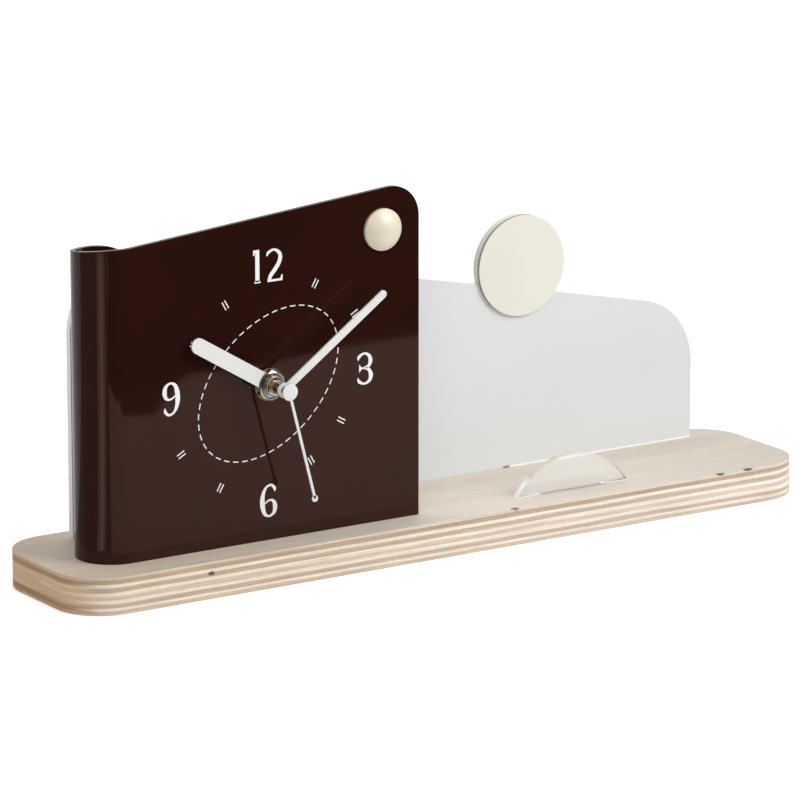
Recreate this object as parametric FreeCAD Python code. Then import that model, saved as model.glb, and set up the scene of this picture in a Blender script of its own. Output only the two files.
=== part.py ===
"""Desk clock on a plywood base, with a frosted back panel and a clear card stop.

Millimetres. The origin is the centre of the base's bottom face, +X runs along the
base's length to the right, +Y to the back and +Z up.
"""
import FreeCAD
import Part
import math
import os

Vector = FreeCAD.Vector

# Base board
base_length = 350.0
base_depth = 70.0
base_thickness = 15.0
base_corner = 20.0
base_arris = 0.4

# Clock plate, a folded steel sheet
plate_sheet = 2.0
plate_left_inset = 16.0
plate_front_inset = 15.0
plate_width = 148.5
plate_left_height = 125.3
plate_top_slope = 0.0917
plate_corner = 13.0
plate_fold_radius = 15.0
plate_flange = 27.0
plate_flange_corner = 26.0

# Tabs under the plate, seated in slots of the base
plate_tab_width = 18.0
plate_tab_left_inset = 34.0
plate_tab_right_inset = 24.0
flange_tab_width = 12.0

# Frosted panel and its tenon
panel_thickness = 3.0
panel_left_inset = 28.5
panel_width = 301.5
panel_back_inset = 10.0
panel_left_height = 119.5
panel_top_slope = 0.2054
panel_corner = 30.0
panel_tenon_width = 113.0
slot_end_gap = 1.5
slot_side_gap = 0.1
slot_depth = 9.0
slot_floor_gap = 0.2

# Marker disc on the panel's top edge
marker_radius = 21.2
marker_sheet = 1.5
marker_along_panel = 213.5
marker_above_edge = 10.0

# Clear card stop
stop_thickness = 3.0
stop_radius = 33.0
stop_height = 15.0
stop_tenon_width = 31.0
stop_front_inset = 13.4
stop_centre_inset = 111.0

# Button magnet on the plate
magnet_cap_radius = 8.5
magnet_cap_height = 4.5
magnet_cap_rim = 1.2
magnet_cap_steps = 3
magnet_radius = 6.0
magnet_height = 2.0
magnet_fit = 0.05
magnet_right_inset = 17.5
magnet_top_inset = 18.1

# Dial
dial_left_inset = 78.1
dial_above_base = 63.3
hour_angle = 301.0
minute_angle = 54.5
second_angle = 165.4

# Fits
running_gap = 0.05
seat_gap = 0.05
end_gap = 0.3
lap = 0.1

# How far cutting tools run past what they cut, and a length past the whole clock
past = 1.0
far = 60.0

# Movement case, as wide as the cell, its contacts and two walls
contact_room = 3.3
case_depth = 16.0
case_wall = 1.2
case_corner = 4.0
gasket_thickness = 0.8
gasket_half = 8.0
bearing_depth = 0.8
cover_lip = 1.0

# Threaded bush, washer and nut
bush_radius = 4.0
bush_flange_radius = 5.6
bush_flange = 0.8
bush_reach = 3.3
washer_radius = 6.6
washer_thickness = 0.6
nut_flats = 11.0
nut_thickness = 2.2

# Arbors and pipes
hour_pipe_radius = 2.5
minute_pipe_radius = 1.6
second_arbor_radius = 0.5
arbor_radius = 0.45
post_radius = 0.7
setting_arbor_radius = 1.5

# Hands
hand_sheet = 0.8
hour_hand_length = 43.4
hour_hand_width = 6.4
hour_hand_reach = 3.6
hour_collar_radius = 4.0
hour_collar = 1.0
hour_hub_rim = 0.6
hour_pipe_past = 1.6
minute_hand_length = 58.1
minute_hand_width = 3.2
minute_hand_reach = 10.9
minute_collar_radius = 2.6
minute_collar = 3.4
minute_hub_rim = 0.4
second_hand_sheet = 0.5
second_hand_length = 47.6
second_hand_width = 1.1
second_hand_reach = 14.8
second_ball_radius = 1.4
second_collar_radius = 1.0
second_collar = 1.5
second_hub_rim = 0.8
second_cap_radius = 3.4
second_cap = 0.8

# Gear train: teeth, and tooth form as shares of the module
second_wheel_teeth = 36
second_pinion_teeth = 6
third_wheel_teeth = 45
third_pinion_teeth = 6
minute_wheel_teeth = 48
minute_pinion_teeth = 8
motion_wheel_teeth = 24
motion_pinion_teeth = 6
hour_wheel_teeth = 24
setting_pinion_teeth = 10
step_wheel_teeth = 30
step_pinion_teeth = 6
rotor_pinion_teeth = 6
second_module = 0.37
motion_module = 0.56
step_module = 0.45
rotor_module = 0.40
tooth_addendum = 0.75
tooth_dedendum = 1.10
tooth_backlash = 0.24
pinion_limit = 14
root_widening = 0.6
flank_angle = 18.0
wheel_thickness = 0.8
pinion_height = 1.4
layer_gap = 0.4

# Directions of the arbors from the dial centre, anticlockwise from +X
third_direction = 140.0
motion_direction = 200.0
step_direction = 20.0
setting_direction = 180.0

# Stepping motor
rotor_radius = 2.6
rotor_height = 2.2
stator_hole_radius = 3.4
stator_sheet = 1.0
stator_leg = 4.0
stator_span = 22.5
stator_side = 2.1
coil_radius = 3.8
coil_core_height = 1.0
bobbin_half = 1.5
bobbin_flange = 0.8
winding_inset = 0.4
core_half = 1.0
core_gap = 0.02
coil_headroom = 3.6
leg_tip = 2.2
stator_wall_gap = 0.8
stator_step = 3.5
stator_neck = 1.5

# Circuit board and battery
board_length = 25.0
board_height = 8.0
board_thickness = 1.0
board_side_gap = 1.2
board_rise = 2.0
crystal_inset = 1.0
chip_side = 4.0
chip_height = 1.2
crystal_radius = 1.0
crystal_length = 6.0
cell_radius = 7.1
cell_length = 50.3
cell_nub_radius = 2.7
cell_nub_length = 1.1
bay_wall = 1.0
bay_gap = 0.2
contact_sheet = 0.3
contact_width = 6.0
contact_bump = 1.2
contact_reach = 5.0
contact_gap = 0.1
contact_foot = 1.5
passage_depth = 0.9
passage_gap = 0.2
knob_radius = 5.5
knob_height = 3.4
knob_ridges = 14
knob_ridge = 0.4

# Places worked out from the sizes above
base_top = base_thickness
front_edge = -base_depth / 2
left_end = -base_length / 2
plate_front = front_edge + plate_front_inset
plate_back = plate_front + plate_sheet
plate_left = left_end + plate_left_inset
plate_right = plate_left + plate_width
fold_x = plate_left + plate_fold_radius
fold_y = plate_front + plate_fold_radius
flange_back = plate_front + 2 * plate_fold_radius
panel_back = base_depth / 2 - panel_back_inset
panel_front = panel_back - panel_thickness
panel_left = left_end + panel_left_inset
panel_right = panel_left + panel_width
dial_x = plate_left + dial_left_inset
dial_z = base_top + dial_above_base
case_front = plate_back + gasket_thickness
case_floor = case_front + case_wall
case_size = cell_length + contact_room + 2 * case_wall
case_back = case_front + case_depth
cover_front = case_back - case_wall
case_inner = case_size / 2 - case_wall
cell_z = -case_size / 2 + case_wall + bay_gap + cell_radius
bay_top = cell_z + cell_radius + bay_gap
gear_floor = bay_top + bay_wall

panel_centre = (panel_left + panel_right) / 2
stop_front = front_edge + stop_front_inset
stop_centre = base_length / 2 - stop_centre_inset
magnet_x = plate_right - magnet_right_inset
plate_right_height = plate_left_height + plate_top_slope * (plate_width - plate_fold_radius)
magnet_z = base_top + plate_right_height - magnet_top_inset
plate_tabs = [
    (plate_left + plate_tab_left_inset, plate_tab_width, plate_front),
    (plate_right - plate_tab_right_inset, plate_tab_width, plate_front),
    (fold_x + plate_flange / 2, flange_tab_width, flange_back - plate_sheet),
]

# Layers of the train, from the dial side to the back
hour_layer = case_floor + bush_flange + end_gap
motion_layer = hour_layer + wheel_thickness + 0.2 + layer_gap
minute_layer = motion_layer + wheel_thickness + layer_gap + end_gap
third_layer = minute_layer + wheel_thickness + 2 * layer_gap
second_layer = third_layer + wheel_thickness + 2 * layer_gap
step_layer = second_layer + wheel_thickness + 2 * layer_gap

second_distance = second_module * (second_pinion_teeth + third_wheel_teeth) / 2
minute_module = 2 * second_distance / (third_pinion_teeth + minute_wheel_teeth)
motion_distance = motion_module * (minute_pinion_teeth + motion_wheel_teeth) / 2
hour_module = 2 * motion_distance / (motion_pinion_teeth + hour_wheel_teeth)
setting_distance = motion_module * (motion_wheel_teeth + setting_pinion_teeth) / 2
step_distance = step_module * (step_pinion_teeth + second_wheel_teeth) / 2
rotor_distance = rotor_module * (rotor_pinion_teeth + step_wheel_teeth) / 2


def polar(distance, degrees, start=(0.0, 0.0)):
    """A point in the dial's plane, at a distance and direction from another."""
    turn = math.radians(degrees)
    return (start[0] + distance * math.cos(turn), start[1] + distance * math.sin(turn))


dial_at = (0.0, 0.0)
third_at = polar(second_distance, third_direction)
motion_at = polar(motion_distance, motion_direction)
setting_at = polar(setting_distance, setting_direction, motion_at)
step_at = polar(step_distance, step_direction)
rotor_at = polar(rotor_distance, step_direction, step_at)


def at_dial(point, y=0.0):
    """Turn a point measured from the dial centre into a place in the model."""
    return Vector(dial_x + point[0], y, dial_z + point[1])


def box(x0, x1, y0, y1, z0, z1):
    return Part.makeBox(x1 - x0, y1 - y0, z1 - z0, Vector(x0, y0, z0))


def dial_box(x0, x1, y0, y1, z0, z1):
    """A box whose X and Z are measured from the dial centre."""
    return box(dial_x + x0, dial_x + x1, y0, y1, dial_z + z0, dial_z + z1)


def rod(at, radius, y0, y1):
    """A round bar along Y, at a point measured from the dial centre."""
    return Part.makeCylinder(radius, y1 - y0, at_dial(at, y0), Vector(0, 1, 0))


def tube(at, radius, bore, y0, y1):
    return rod(at, radius, y0, y1).cut(rod(at, bore, y0 - past, y1 + past))


def fused(first, *others):
    shape = first.fuse(list(others))
    return shape.removeSplitter()


def slab(points, y0, y1):
    """A flat plate between two Y values, its outline given as X and Z pairs."""
    corners = [Vector(x, y0, z) for x, z in points]
    wire = Part.makePolygon(corners + corners[:1])
    return Part.Face(wire).extrude(Vector(0, y1 - y0, 0))


def dial_slab(points, y0, y1):
    return slab([(dial_x + x, dial_z + z) for x, z in points], y0, y1)


def round_edges(shape, radius, chosen):
    """Round the edges for which chosen says yes."""
    return shape.makeFillet(radius, [edge for edge in shape.Edges if chosen(edge)])


def near(edge, x, z):
    """Whether an edge runs along Y through a place given by its X and Z."""
    ends = [vertex.Point for vertex in edge.Vertexes]
    if len(ends) != 2 or abs(ends[0].y - ends[1].y) < 0.1:
        return False
    return all(math.hypot(end.x - x, end.z - z) < 0.1 for end in ends)


def save(name, shape):
    shape.exportStep("parts/" + name + ".step")
    print(name, len(shape.Solids), shape.isValid(), round(shape.Volume, 2))


# Base board

def slot(centre_x, tenon_width, y0, y1):
    """The pocket in the base that takes a tenon."""
    half = tenon_width / 2 + slot_end_gap
    floor = base_top - slot_depth - slot_floor_gap
    return box(centre_x - half, centre_x + half, y0 - slot_side_gap, y1 + slot_side_gap,
               floor, base_top + past)


def base_board():
    board = box(left_end, -left_end, front_edge, -front_edge, 0, base_top)
    board = round_edges(board, base_corner, lambda edge: edge.BoundBox.ZLength > base_thickness / 2)
    rim = [edge for edge in board.Edges
           if edge.BoundBox.ZLength < 0.01 and edge.BoundBox.ZMin > base_top - 0.1]
    board = board.makeChamfer(base_arris, rim)
    cuts = [slot(panel_centre, panel_tenon_width, panel_front, panel_back),
            slot(stop_centre, stop_tenon_width, stop_front, stop_front + stop_thickness)]
    for x, width, y0 in plate_tabs:
        cuts.append(slot(x, width, y0, y0 + plate_sheet))
    return board.cut(cuts)


# Clock plate

def plate_top(x):
    """Height of the plate's slanted top edge at a place along its front."""
    return base_top + plate_left_height + plate_top_slope * (x - fold_x)


def clock_plate():
    front = slab([(fold_x, base_top), (plate_right, base_top),
                  (plate_right, plate_top(plate_right)), (fold_x, plate_top(fold_x))],
                 plate_front, plate_back)
    front = round_edges(front, plate_corner,
                        lambda edge: near(edge, plate_right, plate_top(plate_right)))
    drop = plate_top_slope * math.pi * (plate_fold_radius - plate_sheet / 2)
    flange_top = plate_top(fold_x) - drop
    flange_right = fold_x + plate_flange
    flange_end_top = flange_top - plate_top_slope * plate_flange
    flange = slab([(fold_x, base_top), (flange_right, base_top),
                   (flange_right, flange_end_top), (fold_x, flange_top)],
                  flange_back - plate_sheet, flange_back)
    flange = round_edges(flange, plate_flange_corner,
                         lambda edge: near(edge, flange_right, flange_end_top))
    # The fold is half a tube whose top falls from the front to the flange
    height = plate_top(fold_x) - base_top
    centre = Vector(fold_x, fold_y, base_top)
    fold = Part.makeCylinder(plate_fold_radius, height, centre)
    fold = fold.cut(Part.makeCylinder(plate_fold_radius - plate_sheet, height, centre))
    fold = fold.cut(box(fold_x, fold_x + far, plate_front - past, flange_back + past, 0, 2 * height))
    wedge = [Vector(plate_left - past, plate_front, plate_top(fold_x)),
             Vector(plate_left - past, flange_back, flange_top),
             Vector(plate_left - past, flange_back, 2 * height),
             Vector(plate_left - past, plate_front, 2 * height)]
    above = Part.Face(Part.makePolygon(wedge + wedge[:1])).extrude(Vector(plate_fold_radius + 2, 0, 0))
    fold = fold.cut(above)
    tabs = [box(x - width / 2, x + width / 2, y0, y0 + plate_sheet, base_top - slot_depth, base_top)
            for x, width, y0 in plate_tabs]
    plate = fused(front, fold, flange, *tabs)
    return plate.cut(rod(dial_at, bush_radius + lap, plate_front - past, plate_back + past))


# Panel, marker and stop

def panel_top(x):
    return base_top + panel_left_height - panel_top_slope * (x - panel_left)


def frosted_panel():
    panel = slab([(panel_left, base_top), (panel_right, base_top),
                  (panel_right, panel_top(panel_right)), (panel_left, panel_top(panel_left))],
                 panel_front, panel_back)
    panel = round_edges(panel, panel_corner,
                        lambda edge: near(edge, panel_right, panel_top(panel_right))
                        or near(edge, panel_left, panel_top(panel_left)))
    half = panel_tenon_width / 2
    tenon = box(panel_centre - half, panel_centre + half, panel_front, panel_back,
                base_top - slot_depth, base_top)
    return fused(panel, tenon)


def marker_disc(y0, y1):
    x = panel_left + marker_along_panel
    z = panel_top(x) + marker_above_edge
    return Part.makeCylinder(marker_radius, y1 - y0, Vector(x, y0, z), Vector(0, 1, 0))


def marker_front():
    return marker_disc(panel_front - marker_sheet, panel_front)


def marker_back():
    """The layer that stands on the panel's edge, cut along its slant."""
    x0 = panel_left + marker_along_panel - marker_radius - 1
    x1 = x0 + 2 * marker_radius + 2
    below = slab([(x0, base_top), (x1, base_top), (x1, panel_top(x1)), (x0, panel_top(x0))],
                 panel_front - past, panel_back + past)
    return marker_disc(panel_front, panel_back).cut(below)


def card_stop():
    low = base_top + stop_height - stop_radius
    start = Vector(stop_centre, stop_front, low)
    whole = Part.makeCylinder(stop_radius, stop_thickness, start, Vector(0, 1, 0))
    below = box(stop_centre - stop_radius - past, stop_centre + stop_radius + past, stop_front - past,
                stop_front + stop_thickness + past, low - stop_radius - past, base_top)
    half = stop_tenon_width / 2
    tenon = box(stop_centre - half, stop_centre + half, stop_front, stop_front + stop_thickness,
                base_top - slot_depth, base_top)
    return fused(whole.cut(below), tenon)


# Button magnet

def magnet_cap():
    """A shallow dome with a cylindrical rim, hollow behind for the magnet."""
    rise = magnet_cap_height - magnet_cap_rim
    ball = (magnet_cap_radius ** 2 + rise ** 2) / (2 * rise)
    rim_y = plate_front - magnet_cap_rim
    points = [Vector(0, plate_front, 0), Vector(magnet_cap_radius, plate_front, 0)]
    for step in range(magnet_cap_steps + 1):
        radius = magnet_cap_radius * (1 - step / magnet_cap_steps)
        points.append(Vector(radius, rim_y - rise + ball - math.sqrt(ball ** 2 - radius ** 2), 0))
    profile = Part.makePolygon(points + points[:1])
    dome = Part.Face(profile).revolve(Vector(0, 0, 0), Vector(0, 1, 0), 360)
    dome.translate(Vector(magnet_x, 0, magnet_z))
    pocket = Part.makeCylinder(magnet_radius + magnet_fit, magnet_height + magnet_fit,
                               Vector(magnet_x, plate_front - magnet_height - magnet_fit, magnet_z),
                               Vector(0, 1, 0))
    return dome.cut(pocket)


def magnet():
    return Part.makeCylinder(magnet_radius, magnet_height,
                             Vector(magnet_x, plate_front - magnet_height, magnet_z), Vector(0, 1, 0))


# Hands

def hand_direction(angle):
    """Clock angles run clockwise from twelve."""
    return math.radians(90.0 - angle)


def hand_bar(length, width, hub_radius, bore, y0, y1, angle):
    """A flat bar with a round tip and a round hub, bored for its pipe."""
    body = Part.makeBox(length - width / 2, y1 - y0, width, Vector(0, y0, -width / 2))
    tip = Part.makeCylinder(width / 2, y1 - y0, Vector(length - width / 2, y0, 0), Vector(0, 1, 0))
    hub = Part.makeCylinder(hub_radius, y1 - y0, Vector(0, y0, 0), Vector(0, 1, 0))
    bar = fused(body, tip, hub)
    bar = bar.cut(Part.makeCylinder(bore, y1 - y0 + 2 * past, Vector(0, y0 - past, 0), Vector(0, 1, 0)))
    bar.rotate(Vector(0, 0, 0), Vector(0, 1, 0), -math.degrees(hand_direction(angle)))
    bar.translate(at_dial(dial_at))
    return bar


def reach(distance):
    """The Y of a plane that stands a given distance in front of the plate."""
    return plate_front - distance


def hour_hand():
    return hand_bar(hour_hand_length, hour_hand_width, hour_collar_radius + hour_hub_rim,
                    hour_pipe_radius + seat_gap,
                    reach(hour_hand_reach + hand_sheet), reach(hour_hand_reach), hour_angle)


def hour_hand_collar():
    back = reach(hour_hand_reach + hand_sheet)
    return tube(dial_at, hour_collar_radius, hour_pipe_radius + seat_gap, back - hour_collar, back)


def minute_hand():
    return hand_bar(minute_hand_length, minute_hand_width, minute_collar_radius + minute_hub_rim,
                    minute_pipe_radius + seat_gap,
                    reach(minute_hand_reach + hand_sheet), reach(minute_hand_reach), minute_angle)


def minute_hand_collar():
    back = reach(minute_hand_reach)
    return tube(dial_at, minute_collar_radius, minute_pipe_radius + seat_gap, back, back + minute_collar)


def second_hand():
    y0 = reach(second_hand_reach + second_hand_sheet)
    y1 = reach(second_hand_reach)
    bar = hand_bar(second_hand_length - second_ball_radius, second_hand_width,
                   second_collar_radius + second_hub_rim, second_arbor_radius + seat_gap,
                   y0, y1, second_angle)
    turn = hand_direction(second_angle)
    centre = polar(second_hand_length - second_ball_radius, math.degrees(turn))
    ball = rod(centre, second_ball_radius, y0, y1)
    return fused(bar, ball)


def second_hand_collar():
    front = reach(second_hand_reach)
    return tube(dial_at, second_collar_radius, second_arbor_radius + seat_gap,
                front, front + second_collar)


def second_hand_cap():
    back = reach(second_hand_reach + second_hand_sheet)
    cap = rod(dial_at, second_cap_radius, back - second_cap, back)
    return cap.cut(rod(dial_at, second_arbor_radius + seat_gap, back - second_cap / 2, back + past))


# Bush, washer, nut and gasket

def threaded_bush():
    body = rod(dial_at, bush_radius, reach(bush_reach), case_floor + lap)
    flange = rod(dial_at, bush_flange_radius, case_floor, case_floor + bush_flange)
    bore = rod(dial_at, hour_pipe_radius + running_gap, reach(bush_reach) - past,
               case_floor + bush_flange + past)
    return fused(body, flange).cut(bore)


def dial_washer():
    return tube(dial_at, washer_radius, bush_radius + seat_gap, reach(washer_thickness), plate_front)


def hex_nut():
    corner = nut_flats / 2 / math.cos(math.radians(30))
    points = [polar(corner, 60 * turn) for turn in range(6)]
    back = reach(washer_thickness)
    front = back - nut_thickness
    blank = dial_slab(points, front, back)
    return blank.cut(rod(dial_at, bush_radius + seat_gap, front - past, back + past))


def gasket():
    """A square rubber pad between the plate and the case."""
    pad = dial_box(-gasket_half, gasket_half, plate_back, case_front, -gasket_half, gasket_half)
    return pad.cut(rod(dial_at, bush_radius + 2 * seat_gap, plate_back - past, case_front + past))


# Gears

def gear(teeth, module, phase, at, y0, y1, bore=0.0):
    """A spur wheel with straight flanks; phase is the direction of one tooth."""
    pitch = module * teeth / 2
    tip = pitch + tooth_addendum * module
    root = pitch - tooth_dedendum * module
    half = math.pi / (2 * teeth) * (1 - tooth_backlash)
    slope = math.tan(math.radians(flank_angle))
    tip_half = half * pitch / tip - tooth_addendum * module * slope / tip
    root_half = half
    if teeth > pinion_limit:
        root_half = half * pitch / root + root_widening * module * slope / root
    points = []
    for tooth in range(teeth):
        middle = phase + 360.0 * tooth / teeth
        for radius, turn in ((root, -root_half), (tip, -tip_half), (tip, tip_half), (root, root_half)):
            points.append(polar(radius, middle + math.degrees(turn), at))
    wheel = dial_slab(points, y0, y1)
    if bore:
        wheel = wheel.cut(rod(at, bore, y0 - past, y1 + past))
    return wheel


def meshed(teeth, followed_teeth, followed_phase, direction):
    """Phase of a wheel in mesh with another, which lies back along a direction."""
    share = (direction - followed_phase) * followed_teeth / 360.0
    return direction + 180.0 - (0.5 - share) * 360.0 / teeth


second_phase = 0.0
step_pinion_phase = meshed(step_pinion_teeth, second_wheel_teeth, second_phase, step_direction)
rotor_phase = meshed(rotor_pinion_teeth, step_wheel_teeth, 0.0, step_direction)
third_phase = meshed(third_wheel_teeth, second_pinion_teeth, 0.0, third_direction)
minute_phase = meshed(minute_wheel_teeth, third_pinion_teeth, 0.0, third_direction + 180.0)
motion_phase = meshed(motion_wheel_teeth, minute_pinion_teeth, 0.0, motion_direction)
hour_phase = meshed(hour_wheel_teeth, motion_pinion_teeth, 0.0, motion_direction + 180.0)
setting_phase = meshed(setting_pinion_teeth, motion_wheel_teeth, motion_phase, setting_direction)


def hour_wheel():
    wheel = gear(hour_wheel_teeth, hour_module, hour_phase, dial_at,
                 hour_layer, hour_layer + wheel_thickness)
    pipe_reach = hour_hand_reach + hand_sheet + hour_collar + hour_pipe_past
    pipe = rod(dial_at, hour_pipe_radius, reach(pipe_reach), hour_layer + lap)
    bore = rod(dial_at, minute_pipe_radius + running_gap, reach(far), hour_layer + far)
    return fused(wheel, pipe).cut(bore)


def motion_wheel():
    pinion = gear(motion_pinion_teeth, hour_module, 0.0, motion_at, hour_layer - lap, motion_layer + lap)
    wheel = gear(motion_wheel_teeth, motion_module, motion_phase, motion_at,
                 motion_layer, motion_layer + wheel_thickness)
    bore = rod(motion_at, post_radius + running_gap, case_floor, motion_layer + far)
    return fused(pinion, wheel).cut(bore)


def minute_wheel():
    wheel = gear(minute_wheel_teeth, minute_module, minute_phase, dial_at,
                 minute_layer, minute_layer + wheel_thickness)
    pinion = gear(minute_pinion_teeth, motion_module, 0.0, dial_at,
                  motion_layer - layer_gap / 2, minute_layer + lap)
    pipe = rod(dial_at, minute_pipe_radius, reach(minute_hand_reach + hand_sheet), minute_layer)
    bore = rod(dial_at, second_arbor_radius + running_gap, reach(far), minute_layer + far)
    return fused(wheel, pinion, pipe).cut(bore)


front_end = case_floor - bearing_depth
rear_end = cover_front + bearing_depth


def arbor(at):
    """A plain steel shaft, its ends in the bearings of the case and its cover."""
    return rod(at, arbor_radius, front_end, rear_end)


def third_wheel():
    pinion = gear(third_pinion_teeth, minute_module, 0.0, third_at,
                  minute_layer - layer_gap / 2, third_layer + lap)
    wheel = gear(third_wheel_teeth, second_module, third_phase, third_at,
                 third_layer, third_layer + wheel_thickness)
    return fused(wheel, pinion, arbor(third_at))


def second_wheel():
    pinion = gear(second_pinion_teeth, second_module, 0.0, dial_at,
                  third_layer - layer_gap / 2, second_layer + lap)
    wheel = gear(second_wheel_teeth, step_module, second_phase, dial_at,
                 second_layer, second_layer + wheel_thickness)
    front = rod(dial_at, second_arbor_radius, reach(second_hand_reach + second_hand_sheet), third_layer)
    rear = rod(dial_at, arbor_radius, second_layer, rear_end)
    return fused(wheel, pinion, front, rear)


def step_wheel():
    pinion = gear(step_pinion_teeth, step_module, step_pinion_phase, step_at,
                  second_layer - layer_gap / 2, step_layer + lap)
    wheel = gear(step_wheel_teeth, rotor_module, 0.0, step_at, step_layer, step_layer + wheel_thickness)
    return fused(wheel, pinion, arbor(step_at))


rotor_layer = minute_layer - rotor_height / 2
stator_layer = rotor_layer + (rotor_height - stator_sheet) / 2


def rotor():
    """The magnet and the pinion that steps the train."""
    pinion = gear(rotor_pinion_teeth, rotor_module, rotor_phase, rotor_at,
                  step_layer - layer_gap / 2, step_layer + pinion_height - layer_gap / 2)
    disc = rod(rotor_at, rotor_radius, rotor_layer, rotor_layer + rotor_height)
    return fused(disc, pinion, arbor(rotor_at))


def setting_knob():
    """The knob behind the case, its arbor and the pinion on the motion wheel."""
    pinion = gear(setting_pinion_teeth, motion_module, setting_phase, setting_at,
                  motion_layer - layer_gap / 2, motion_layer + wheel_thickness + layer_gap / 2)
    shaft = rod(setting_at, setting_arbor_radius, motion_layer, case_back + end_gap + lap)
    pivot = rod(setting_at, arbor_radius, front_end, motion_layer)
    step = 180.0 / knob_ridges
    outline = [polar(knob_radius - knob_ridge * (turn % 2), step * turn, setting_at)
               for turn in range(2 * knob_ridges)]
    knob = dial_slab(outline, case_back + end_gap, case_back + end_gap + knob_height)
    return fused(pinion, shaft, pivot, knob)


# Stepping motor

leg_right = case_inner - stator_wall_gap
leg_left = leg_right - stator_span
leg_top = case_inner - coil_headroom
coil_z = leg_top - leg_tip
core_front = stator_layer + stator_sheet


def stator():
    """A U of soft iron round the rotor, its left leg stepped clear of the train."""
    inner_left = rotor_at[0] - stator_hole_radius - stator_side
    yoke_top = rotor_at[1] + stator_hole_radius + stator_side
    yoke_low = rotor_at[1] - stator_hole_radius - stator_side
    shape = dial_slab([(inner_left, yoke_low), (leg_right, yoke_low), (leg_right, leg_top),
                       (leg_right - stator_leg, leg_top), (leg_right - stator_leg, yoke_top),
                       (inner_left + stator_neck, yoke_top),
                       (leg_left + stator_leg, yoke_top + stator_step),
                       (leg_left + stator_leg, leg_top), (leg_left, leg_top),
                       (leg_left, yoke_top + stator_step - stator_neck),
                       (inner_left, yoke_top - 2 * stator_neck)],
                      stator_layer, stator_layer + stator_sheet)
    return shape.cut(rod(rotor_at, stator_hole_radius, stator_layer - past, stator_layer + 2 * past))


coil_left = leg_left + stator_leg + lap
coil_right = leg_right - stator_leg - lap
core_y = core_front + coil_core_height / 2


def bar_along_x(radius, x0, x1, y, z):
    return Part.makeCylinder(radius, x1 - x0, Vector(dial_x + x0, y, dial_z + z), Vector(1, 0, 0))


def coil_core():
    """The iron bar that joins the legs through the coil."""
    return dial_box(leg_left, leg_right, core_front, core_front + coil_core_height,
                    coil_z - core_half, coil_z + core_half)


def square_bar(half, x0, x1):
    """A square bar along the coil's axis."""
    return dial_box(x0, x1, core_y - half, core_y + half, coil_z - half, coil_z + half)


def coil_bobbin():
    spool = square_bar(bobbin_half, coil_left, coil_right)
    ends = [square_bar(coil_radius, x, x + bobbin_flange)
            for x in (coil_left, coil_right - bobbin_flange)]
    window = dial_box(coil_left - past, coil_right + past, core_front - core_gap,
                      core_front + coil_core_height + core_gap,
                      coil_z - core_half - core_gap, coil_z + core_half + core_gap)
    return fused(spool, *ends).cut(window)


def coil_winding():
    x0 = coil_left + bobbin_flange
    x1 = coil_right - bobbin_flange
    outer = square_bar(coil_radius - winding_inset, x0, x1)
    return outer.cut(square_bar(bobbin_half, x0 - past, x1 + past))


# Circuit board, contacts and cell

board_left = -case_inner + board_side_gap
board_right = board_left + board_length
board_low = leg_top - board_height + board_rise
board_top = board_low + board_height
board_front = stator_layer


def circuit_board():
    return dial_box(board_left, board_right, board_front, board_front + board_thickness,
                    board_low, board_top)


def chip():
    """The flat package on the back of the board."""
    x = (board_left + board_right) / 2
    z = (board_low + board_top) / 2
    y = board_front + board_thickness
    half = chip_side / 2
    return dial_box(x - half, x + half, y, y + chip_height, z - half, z + half)


def crystal():
    y = board_front + board_thickness + crystal_radius
    z = board_top - crystal_radius - crystal_inset
    x = board_right - crystal_inset
    return bar_along_x(crystal_radius, x - crystal_length, x, y, z)


cell_y = case_floor + bay_gap + cell_radius
contact_front = cell_y - contact_width / 2


def folded_strip(points):
    return dial_slab(points, contact_front, contact_front + contact_width)


def contact_left():
    """The strip at the cell's flat end, with a sprung bow, led up to the board."""
    x = -case_inner + contact_gap
    inner = x + contact_sheet
    low = cell_z - contact_reach
    high = cell_z + contact_reach
    foot = board_low + contact_foot
    bow = x + contact_bump
    return folded_strip([(x, low), (inner, low), (bow, cell_z), (inner, high),
                         (inner, foot), (board_left, foot), (board_left, foot + contact_sheet),
                         (x, foot + contact_sheet), (x, high), (bow - contact_sheet, cell_z)])


def contact_right():
    """The strip at the cell's nub, led up the wall and over the coil to the board."""
    side = case_inner - contact_gap
    inner = side - contact_sheet
    low = cell_z - contact_reach
    foot = board_right - contact_foot
    return folded_strip([(side, low), (inner, low), (inner, inner), (foot, inner),
                         (foot, board_top), (foot - contact_sheet, board_top),
                         (foot - contact_sheet, side), (side, side)])


cell_right = case_inner - contact_gap - contact_sheet - seat_gap
cell_left = cell_right - cell_length


def battery_cell():
    """A cylindrical cell with its raised positive end to the right."""
    body_right = cell_right - cell_nub_length
    can = bar_along_x(cell_radius, cell_left, body_right, cell_y, cell_z)
    nub = bar_along_x(cell_nub_radius, body_right - lap, cell_right, cell_y, cell_z)
    return fused(can, nub)


# Movement case

def case_block(y0, y1, inset=0.0):
    half = case_size / 2 - inset
    block = dial_box(-half, half, y0, y1, -half, half)
    corner = case_corner - inset
    return round_edges(block, corner, lambda edge: edge.BoundBox.YLength > (y1 - y0) / 2)


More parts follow.
